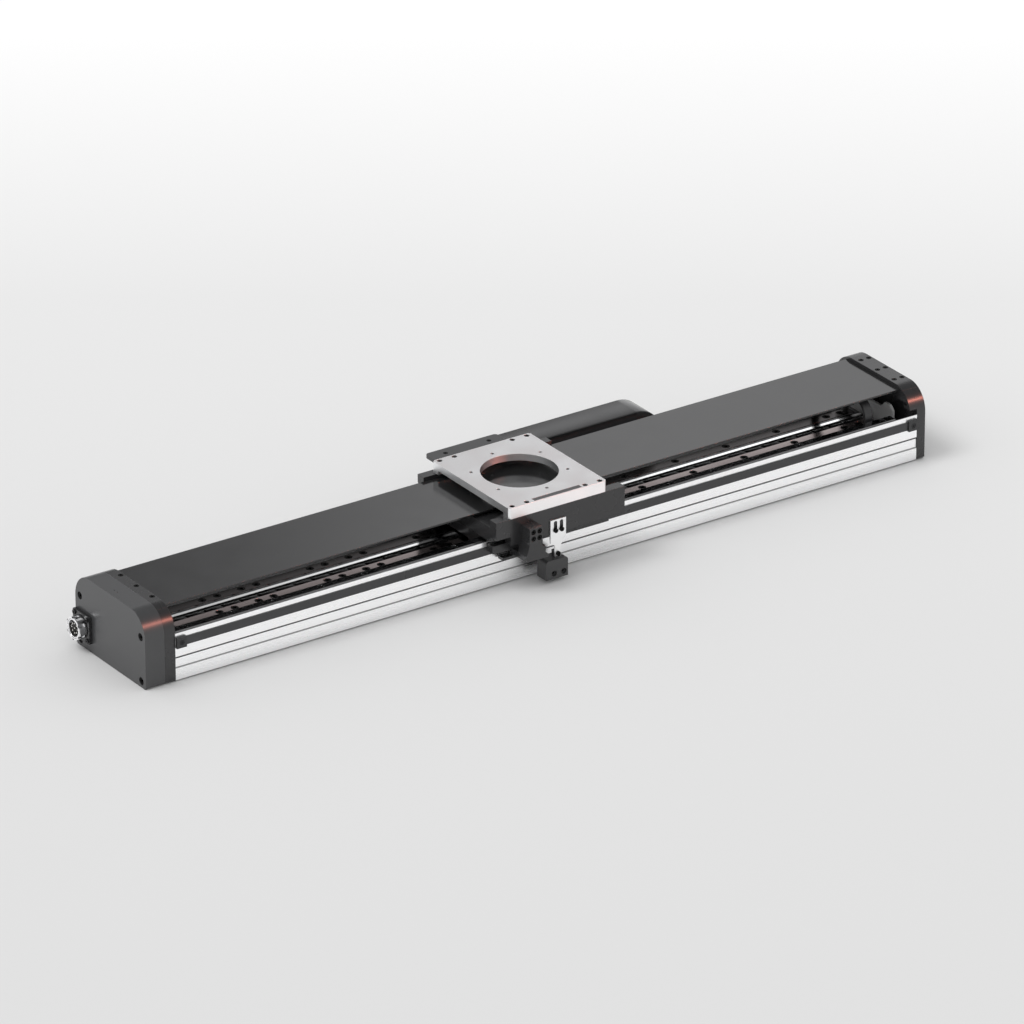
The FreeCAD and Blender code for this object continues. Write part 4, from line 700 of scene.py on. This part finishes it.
@dataclass
class Buffers:
    """Four rubber buffers, each a collar, a waist and a rounded head.

    Attributes:
        waist: radius of the waist as a share of the full radius.
        waist_span: shares of the length between which the waist lies.
        head: rounding of the head as a share of the radius.
        rings: rings along the length.
        sides: number of sides.
        strokes: how far the carriage travels to the left and to the right, in metres.
        gap: what is left before a buffer at the end of a stroke.
        crease: sharper edges stay sharp, in degrees.
    """

    waist: float = 0.82
    waist_span: tuple[float, float] = (0.25, 0.72)
    head: float = 0.32
    rings: int = 9
    sides: int = 40
    strokes: tuple[float, float] = (0.4, 0.35)
    gap: float = 0.0007
    crease: float = 50.0

    def build(self) -> list[bpy.types.Object]:
        """Build the buffers of both ends.

        Returns:
            The buffers as one piece.
        """
        low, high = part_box("buffers")
        radius = (high.z - low.z) / 2
        left_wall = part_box("left_end_block")[1].x
        right_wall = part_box("stop_arch")[0].x
        frame_low, frame_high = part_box("carriage_frame")
        left_reach = frame_low.x - self.strokes[0] - self.gap - left_wall
        right_reach = right_wall - (frame_high.x + self.strokes[1] + self.gap)
        mid = (low.z + high.z) / 2
        made = []
        for wall, reach in ((left_wall, left_reach), (right_wall, -right_reach)):
            first = self._buffer(Vector((wall, low.y + radius, mid)), reach, radius)
            made.append(first)
            made.extend(Bench.copies(first, [Vector((0, high.y - low.y - 2 * radius, 0))]))
        whole = Bench.joined(made, "rubber_buffers")
        Bench.smooth(whole, self.crease)
        Bench.dress(whole, RUBBER, "buffers")
        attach(whole, "base")
        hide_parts("buffers")
        return [whole]

    def _buffer(self, foot: Vector, reach: float, radius: float) -> bpy.types.Object:
        """Model one buffer.

        Args:
            foot: middle of its foot.
            reach: signed length along X.
            radius: full radius.

        Returns:
            The buffer.
        """
        piece = Bench.drum("buffer", foot, Vector((reach, 0, 0)), radius, self.sides)
        Bench.pick_edges(piece, lambda a, b: abs(a.x - b.x) > ALONG)
        bpy.ops.mesh.subdivide(number_cuts=self.rings)
        Bench.done()
        end = foot.x + reach
        lowest, highest = sorted(foot.x + reach * share for share in self.waist_span)
        Bench.pick_edges(piece, lambda a, b: lowest < a.x < highest and abs(a.x - b.x) < TOUCH)
        bpy.ops.transform.resize(value=(1, self.waist, self.waist), center_override=foot)
        Bench.done()
        Bench.pick_edges(piece, lambda a, b: abs(a.x - end) < TOUCH and abs(b.x - end) < TOUCH)
        bpy.ops.mesh.bevel(offset=radius * self.head, segments=4, affect="EDGES")
        Bench.done()
        return piece


@dataclass
class Connector:
    """The round connector: a slotted coupling ring and the shell inside it.

    Attributes:
        sides: sides of the ring.
        slots: how many slots the ring has.
        slot_depth: depth of a slot.
        slot_span: shares of the ring's length between which a slot lies.
        slot_half: half a slot's width as a share of the pitch.
        wall: thickness of the ring at its mouth.
        ring_edge: rounding of the ring's edges.
        shell_sides: sides of the shell.
        shell_play: gap between the shell and its insert.
        lip: rounding of the shell's lip.
    """

    sides: int = 48
    slots: int = 6
    slot_depth: float = 1.3 * MM
    slot_span: tuple[float, float] = (0.05, 0.78)
    slot_half: float = 0.17
    wall: float = 2.2 * MM
    ring_edge: float = 0.25 * MM
    shell_sides: int = 64
    shell_play: float = 0.05 * MM
    lip: float = 0.35 * MM

    def build(self) -> list[bpy.types.Object]:
        """Build the ring and the shell.

        Returns:
            The two pieces.
        """
        ring = self._ring()
        shell = self._shell()
        for piece, node in ((ring, "connector_ring"), (shell, "connector_shell")):
            Bench.smooth(piece)
            Bench.dress(piece, CHROME, node)
            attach(piece, "base")
            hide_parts(node)
        return [ring, shell]

    @staticmethod
    def _tube(name: str, node: str, sides: int) -> bpy.types.Object:
        """Model the drum that a CAD node's box holds, from its right end to its left.

        Args:
            name: name of the piece.
            node: the CAD node.
            sides: number of sides.

        Returns:
            The drum.
        """
        low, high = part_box(node)
        middle = (low + high) / 2
        return Bench.drum(
            name, Vector((high.x, middle.y, middle.z)), Vector((low.x - high.x, 0, 0)),
            (high.z - low.z) / 2, sides,
        )

    def _ring(self) -> bpy.types.Object:
        """Model the coupling ring with slots round its front half."""
        low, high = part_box("connector_ring")
        middle = (low + high) / 2
        radius = (high.z - low.z) / 2
        piece = self._tube("coupling_ring", "connector_ring", self.sides)
        Bench.pick_edges(piece, lambda a, b: abs(a.x - b.x) > ALONG)
        bpy.ops.mesh.subdivide(number_cuts=3)
        Bench.done()
        Bench.pick_faces(piece, lambda c, n: abs(n.x) > SQUARE)
        bpy.ops.mesh.inset(thickness=self.wall)
        bpy.ops.mesh.bridge_edge_loops()
        Bench.done()
        pitch = 2 * math.pi / self.slots
        far, near = (low.x + share * (high.x - low.x) for share in self.slot_span)

        def in_slot(centre: Vector, normal: Vector) -> bool:
            """Tell whether an outer face lies in a slot."""
            angle = math.atan2(centre.z - middle.z, centre.y - middle.y) % pitch
            away = math.hypot(centre.z - middle.z, centre.y - middle.y)
            outer = away > radius - 0.5 * MM and abs(normal.x) < 0.1
            return outer and abs(angle - pitch / 2) < pitch * self.slot_half and far < centre.x < near

        Bench.pick_faces(piece, in_slot)
        bpy.ops.mesh.extrude_region_shrink_fatten(TRANSFORM_OT_shrink_fatten={"value": -self.slot_depth})
        Bench.done()
        Bench.rounded(piece, self.ring_edge)
        return piece

    def _shell(self) -> bpy.types.Object:
        """Model the shell as a tube with a rounded lip."""
        low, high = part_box("connector_shell")
        insert_low, insert_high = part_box("connector_insert")
        radius = (high.z - low.z) / 2
        bore = (insert_high.z - insert_low.z) / 2 + self.shell_play
        piece = self._tube("connector_tube", "connector_shell", self.shell_sides)
        Bench.pick_faces(piece, lambda c, n: abs(n.x) > SQUARE)
        bpy.ops.mesh.inset(thickness=radius - bore)
        bpy.ops.mesh.bridge_edge_loops()
        Bench.done()
        Bench.rounded(piece, self.lip, 3)
        return piece


@dataclass
class MagnetRow:
    """The row of coated magnets between the flanges of the track.

    Attributes:
        edge: rounding of a magnet's edges.
        pitch: distance from one magnet to the next.
        length: length of one magnet.
    """

    edge: float = 0.45 * MM
    pitch: float = 24 * MM
    length: float = 20 * MM

    def build(self) -> list[bpy.types.Object]:
        """Build one magnet and copy it along the track.

        Returns:
            The magnets as one piece.
        """
        low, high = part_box("magnets")
        first = Bench.block("magnet", low, Vector((low.x + self.length, high.y, high.z)))
        Bench.rounded(first, self.edge)
        count = round((high.x - low.x - self.length) / self.pitch)
        moves = [Vector((self.pitch * (step + 1), 0, 0)) for step in range(count)]
        made = [first] + Bench.copies(first, moves)
        whole = Bench.joined(made, "magnet_row")
        Bench.smooth(whole)
        Bench.dress(whole, MAGNET_COAT, "magnets")
        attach(whole, "base")
        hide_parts("magnets")
        return [whole]


@dataclass
class CoilUnit:
    """The coil unit: a cast block with a rounded belly and a recessed band along each side.

    Attributes:
        edge: rounding of the edges.
        margin: rim round the recessed sides.
        recess: depth of the recess.
    """

    edge: float = 1.2 * MM
    margin: float = 3.5 * MM
    recess: float = 0.8 * MM

    def build(self) -> list[bpy.types.Object]:
        """Build the block.

        Returns:
            The piece.
        """
        low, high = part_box("coil_unit")
        piece = Bench.block("coil_block", low, high)
        Bench.pick_faces(piece, lambda c, n: abs(n.z) < 0.1)
        bpy.ops.mesh.inset(thickness=self.margin, depth=-self.recess, use_individual=True)
        Bench.done()
        Bench.rounded(piece, self.edge, 3)
        Bench.smooth(piece)
        Bench.dress(piece, RESIN, "coil_unit")
        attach(piece, "carriage")
        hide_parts("coil_unit")
        return [piece]


@dataclass
class Carried:
    """The CAD nodes that keep their shape and get a finish."""

    finishes: dict[Finish, tuple[str, ...]] = field(default_factory=lambda: NODE_FINISHES)

    def dress(self) -> None:
        """Give every CAD node its finish."""
        for finish, nodes in self.finishes.items():
            for node in nodes:
                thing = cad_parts[node]
                if not thing.data.materials:
                    thing.data.materials.append(None)
                for place in range(len(thing.material_slots)):
                    thing.material_slots[place].material = finish.material()
                log.info("%s wears %s", node, finish.name)


@dataclass
class Studio:
    """Floor, lamps, world and camera.

    Attributes:
        camera_place: where the camera stands, in metres.
        azimuth: how far the view is turned from +Y, in degrees.
        elevation: how far it looks down, in degrees.
        lens: focal length, in millimetres, on a 36 mm sensor.
        right: direction to the right of the picture.
        sky_strength: strength of the sky.
        mirrored_sky: how far to the right, and how bright the sky is there in reflections: ends, then
            between.
        lid_start: height in the sky at which it starts to darken in reflections.
        lid_full: height from which it is fully dark.
        lid_level: how bright the dark part is.
        floor_size: length of the floor's sides, in metres.
        floor_height: how high the floor lies, just under the object.
        away: direction along the floor away from the camera.
        floor_painted_light: how far away from the middle, and how pale the floor is there: ends, then between.
        mirrored_floor: how pale the floor is in reflections.
        key_strength: strength of the key lamp.
        key_spread: how wide the key lamp looks, in degrees.
        key_direction: where the key lamp shines to.
        warm_strips: name, place, length and power of each warm lamp.
        strip_height: height of the warm lamps.
        strip_colour: colour of the warm lamps.
    """

    camera_place: tuple[float, float, float] = (-5.13002, -7.51760, 4.38830)
    azimuth: float = -34.3276
    elevation: float = 25.508
    lens: float = 311.05
    right: Colour = (0.8258, -0.5639, 0.0)
    sky_strength: float = 0.78
    mirrored_sky: tuple[tuple[float, float], ...] = ((-0.5, 0.9), (0.6, 1.1), (-0.036, 0.36), (-0.006, 1.55))
    lid_start: float = 0.50
    lid_full: float = 0.66
    lid_level: float = 0.30
    floor_size: float = 40.0
    floor_height: float = -0.0003
    away: Colour = (0.564, 0.826, 0.0)
    # Painted light: the floor is paler away from the camera.
    floor_painted_light: tuple[tuple[float, float], ...] = ((-1.2, 0.742), (1.6, 0.93), (-0.2, 0.766), (0.7, 0.815))
    mirrored_floor: float = 0.93
    key_strength: float = 0.9
    key_spread: float = 24.0
    key_direction: tuple[float, float, float] = (2.2, -0.6, -3.4)
    warm_strips: tuple[tuple[str, tuple[float, float, float], float, float], ...] = (
        ("warm_right", (2.0, -2.2, 1.62), 0.75, 42.0),
        ("warm_left", (1.0, -2.2, 1.62), 1.1, 36.0),
    )
    strip_height: float = 0.28
    strip_colour: Colour = (1.0, 0.32, 0.24)

    def build(self) -> None:
        """Build everything that isn't part of the object."""
        self._camera()
        self._world()
        self._floor()
        self._lamps()
        bpy.context.scene.view_settings.view_transform = "Standard"

    def _camera(self) -> None:
        """Place the camera."""
        data = bpy.data.cameras.new("view")
        data.lens = self.lens
        data.sensor_width = 36
        data.clip_end = 100
        thing = bpy.data.objects.new("view", data)
        thing.location = self.camera_place
        thing.rotation_euler = Euler((math.radians(90 - self.elevation), 0, math.radians(self.azimuth)))
        bpy.context.scene.collection.objects.link(thing)
        bpy.context.scene.camera = thing

    def _world(self) -> None:
        """Light the scene with an even pale sky, which reflections show with darker and brighter parts."""
        world = bpy.data.worlds.new("sky")
        bpy.context.scene.world = world
        world.use_nodes = True
        tree = world.node_tree
        back = tree.nodes["Background"]
        back.inputs["Strength"].default_value = self.sky_strength
        place = tree.nodes.new("ShaderNodeTexCoord")
        sideways = self._along(tree, place.outputs["Generated"], self.right)
        ramp = tree.nodes.new("ShaderNodeValToRGB")
        ramp.color_ramp.interpolation = "EASE"
        for stop, (where, level) in zip(self._four_stops(ramp), self.mirrored_sky):
            stop.position = (where + 1) / 2
            stop.color = (level, level, level * 1.01, 1)
        shift = tree.nodes.new("ShaderNodeMapRange")
        shift.inputs["From Min"].default_value = -1.0
        shift.inputs["From Max"].default_value = 1.0
        tree.links.new(sideways, shift.inputs["Value"])
        tree.links.new(shift.outputs["Result"], ramp.inputs["Fac"])
        upwards = self._along(tree, place.outputs["Generated"], (0.0, 0.0, 1.0))
        lid = tree.nodes.new("ShaderNodeMapRange")
        lid.interpolation_type = "SMOOTHSTEP"
        lid.inputs["From Min"].default_value = self.lid_start
        lid.inputs["From Max"].default_value = self.lid_full
        shade = tree.nodes.new("ShaderNodeMix")
        shade.data_type = "RGBA"
        shade.inputs[MIX_B].default_value = (self.lid_level, self.lid_level, self.lid_level, 1)
        tree.links.new(upwards, lid.inputs["Value"])
        tree.links.new(lid.outputs["Result"], shade.inputs[0])
        tree.links.new(ramp.outputs["Color"], shade.inputs[MIX_A])
        path = tree.nodes.new("ShaderNodeLightPath")
        mix = tree.nodes.new("ShaderNodeMix")
        mix.data_type = "RGBA"
        mix.inputs[MIX_A].default_value = (1.0, 1.0, 1.0, 1)
        tree.links.new(path.outputs["Is Glossy Ray"], mix.inputs[0])
        tree.links.new(shade.outputs[MIX_RESULT], mix.inputs[MIX_B])
        tree.links.new(mix.outputs[MIX_RESULT], back.inputs["Color"])

    @staticmethod
    def _four_stops(ramp: bpy.types.Node) -> list[bpy.types.ColorRampElement]:
        """Return a ramp's two stops and two new ones."""
        stops = ramp.color_ramp.elements
        return [stops[0], stops[1], stops.new(0.5), stops.new(0.6)]

    @staticmethod
    def _along(
        tree: bpy.types.NodeTree, source: bpy.types.NodeSocket, direction: Colour
    ) -> bpy.types.NodeSocket:
        """Measure a vector along a direction.

        Args:
            tree: the node tree.
            source: the vector's socket.
            direction: the direction to measure along.

        Returns:
            The socket with the measure.
        """
        split = tree.nodes.new("ShaderNodeVectorMath")
        split.operation = "DOT_PRODUCT"
        split.inputs[1].default_value = direction
        tree.links.new(source, split.inputs[0])
        return split.outputs["Value"]

    def _floor(self) -> None:
        """Lay the pale floor, with painted light that makes it paler away from the camera, and evenly pale in
        reflections.
        """
        Bench.clear()
        bpy.ops.mesh.primitive_plane_add(size=self.floor_size, location=(0, 0, self.floor_height))
        plane = bpy.context.object
        plane.name = "floor"
        material = bpy.data.materials.new("floor_paper")
        material.use_nodes = True
        tree = material.node_tree
        shader = tree.nodes["Principled BSDF"]
        shader.inputs["Roughness"].default_value = 0.9
        shader.inputs["Specular IOR Level"].default_value = 0.0
        place = tree.nodes.new("ShaderNodeTexCoord")
        away = self._along(tree, place.outputs["Object"], self.away)
        ramp = tree.nodes.new("ShaderNodeValToRGB")
        first, last = self.floor_painted_light[0][0], self.floor_painted_light[1][0]
        for stop, (where, tone) in zip(self._four_stops(ramp), self.floor_painted_light):
            stop.position = (where - first) / (last - first)
            stop.color = (tone, tone, tone, 1)
        spread = tree.nodes.new("ShaderNodeMapRange")
        spread.inputs["From Min"].default_value = first
        spread.inputs["From Max"].default_value = last
        tree.links.new(away, spread.inputs["Value"])
        tree.links.new(spread.outputs["Result"], ramp.inputs["Fac"])
        path = tree.nodes.new("ShaderNodeLightPath")
        mix = tree.nodes.new("ShaderNodeMix")
        mix.data_type = "RGBA"
        mix.inputs[MIX_B].default_value = (*[self.mirrored_floor] * 3, 1)
        tree.links.new(path.outputs["Is Glossy Ray"], mix.inputs[0])
        tree.links.new(ramp.outputs["Color"], mix.inputs[MIX_A])
        tree.links.new(mix.outputs[MIX_RESULT], shader.inputs["Base Color"])
        plane.data.materials.append(material)

    def _lamps(self) -> None:
        """Hang the soft key and the two warm strips."""
        data = bpy.data.lights.new("key", "SUN")
        data.energy = self.key_strength
        data.angle = math.radians(self.key_spread)
        key = bpy.data.objects.new("key", data)
        key.rotation_euler = Vector(self.key_direction).to_track_quat("-Z", "Y").to_euler()
        bpy.context.scene.collection.objects.link(key)
        for name, place, width, power in self.warm_strips:
            self._warm_strip(name, place, width, power)

    def _warm_strip(self, name: str, place: tuple[float, float, float], width: float, power: float) -> None:
        """Hang a long warm lamp along X that faces the object and lights only the warm nodes' gloss.

        Args:
            name: name of the lamp.
            place: where it hangs, in metres.
            width: its length along X.
            power: its power, in watts.
        """
        data = bpy.data.lights.new(name, "AREA")
        data.shape = "RECTANGLE"
        data.size = width
        data.size_y = self.strip_height
        data.energy = power
        data.color = self.strip_colour
        thing = bpy.data.objects.new(name, data)
        thing.location = place
        towards = Vector((0, -place[1], -place[2]))
        thing.rotation_euler = towards.to_track_quat("-Z", "Y").to_euler()
        thing.visible_camera = False
        thing.visible_diffuse = False
        data.cycles.max_bounces = 0
        group = bpy.data.collections.new(f"{thing.name}_receivers")
        for node in WARM_NODES:
            group.objects.link(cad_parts[node])
        thing.light_linking.receiver_collection = group
        bpy.context.scene.collection.objects.link(thing)


def main() -> None:
    """Build the studio, dress the CAD nodes and add the finer pieces."""
    logging.basicConfig(level=logging.INFO, format="%(name)s: %(message)s")
    Studio().build()
    Carried().dress()
    for maker in (CableCarrier(), Buffers(), Connector(), MagnetRow(), CoilUnit()):
        for piece in maker.build():
            log.info("%s: %d faces", piece.name, len(piece.data.polygons))


if __name__ == "__main__":
    main()
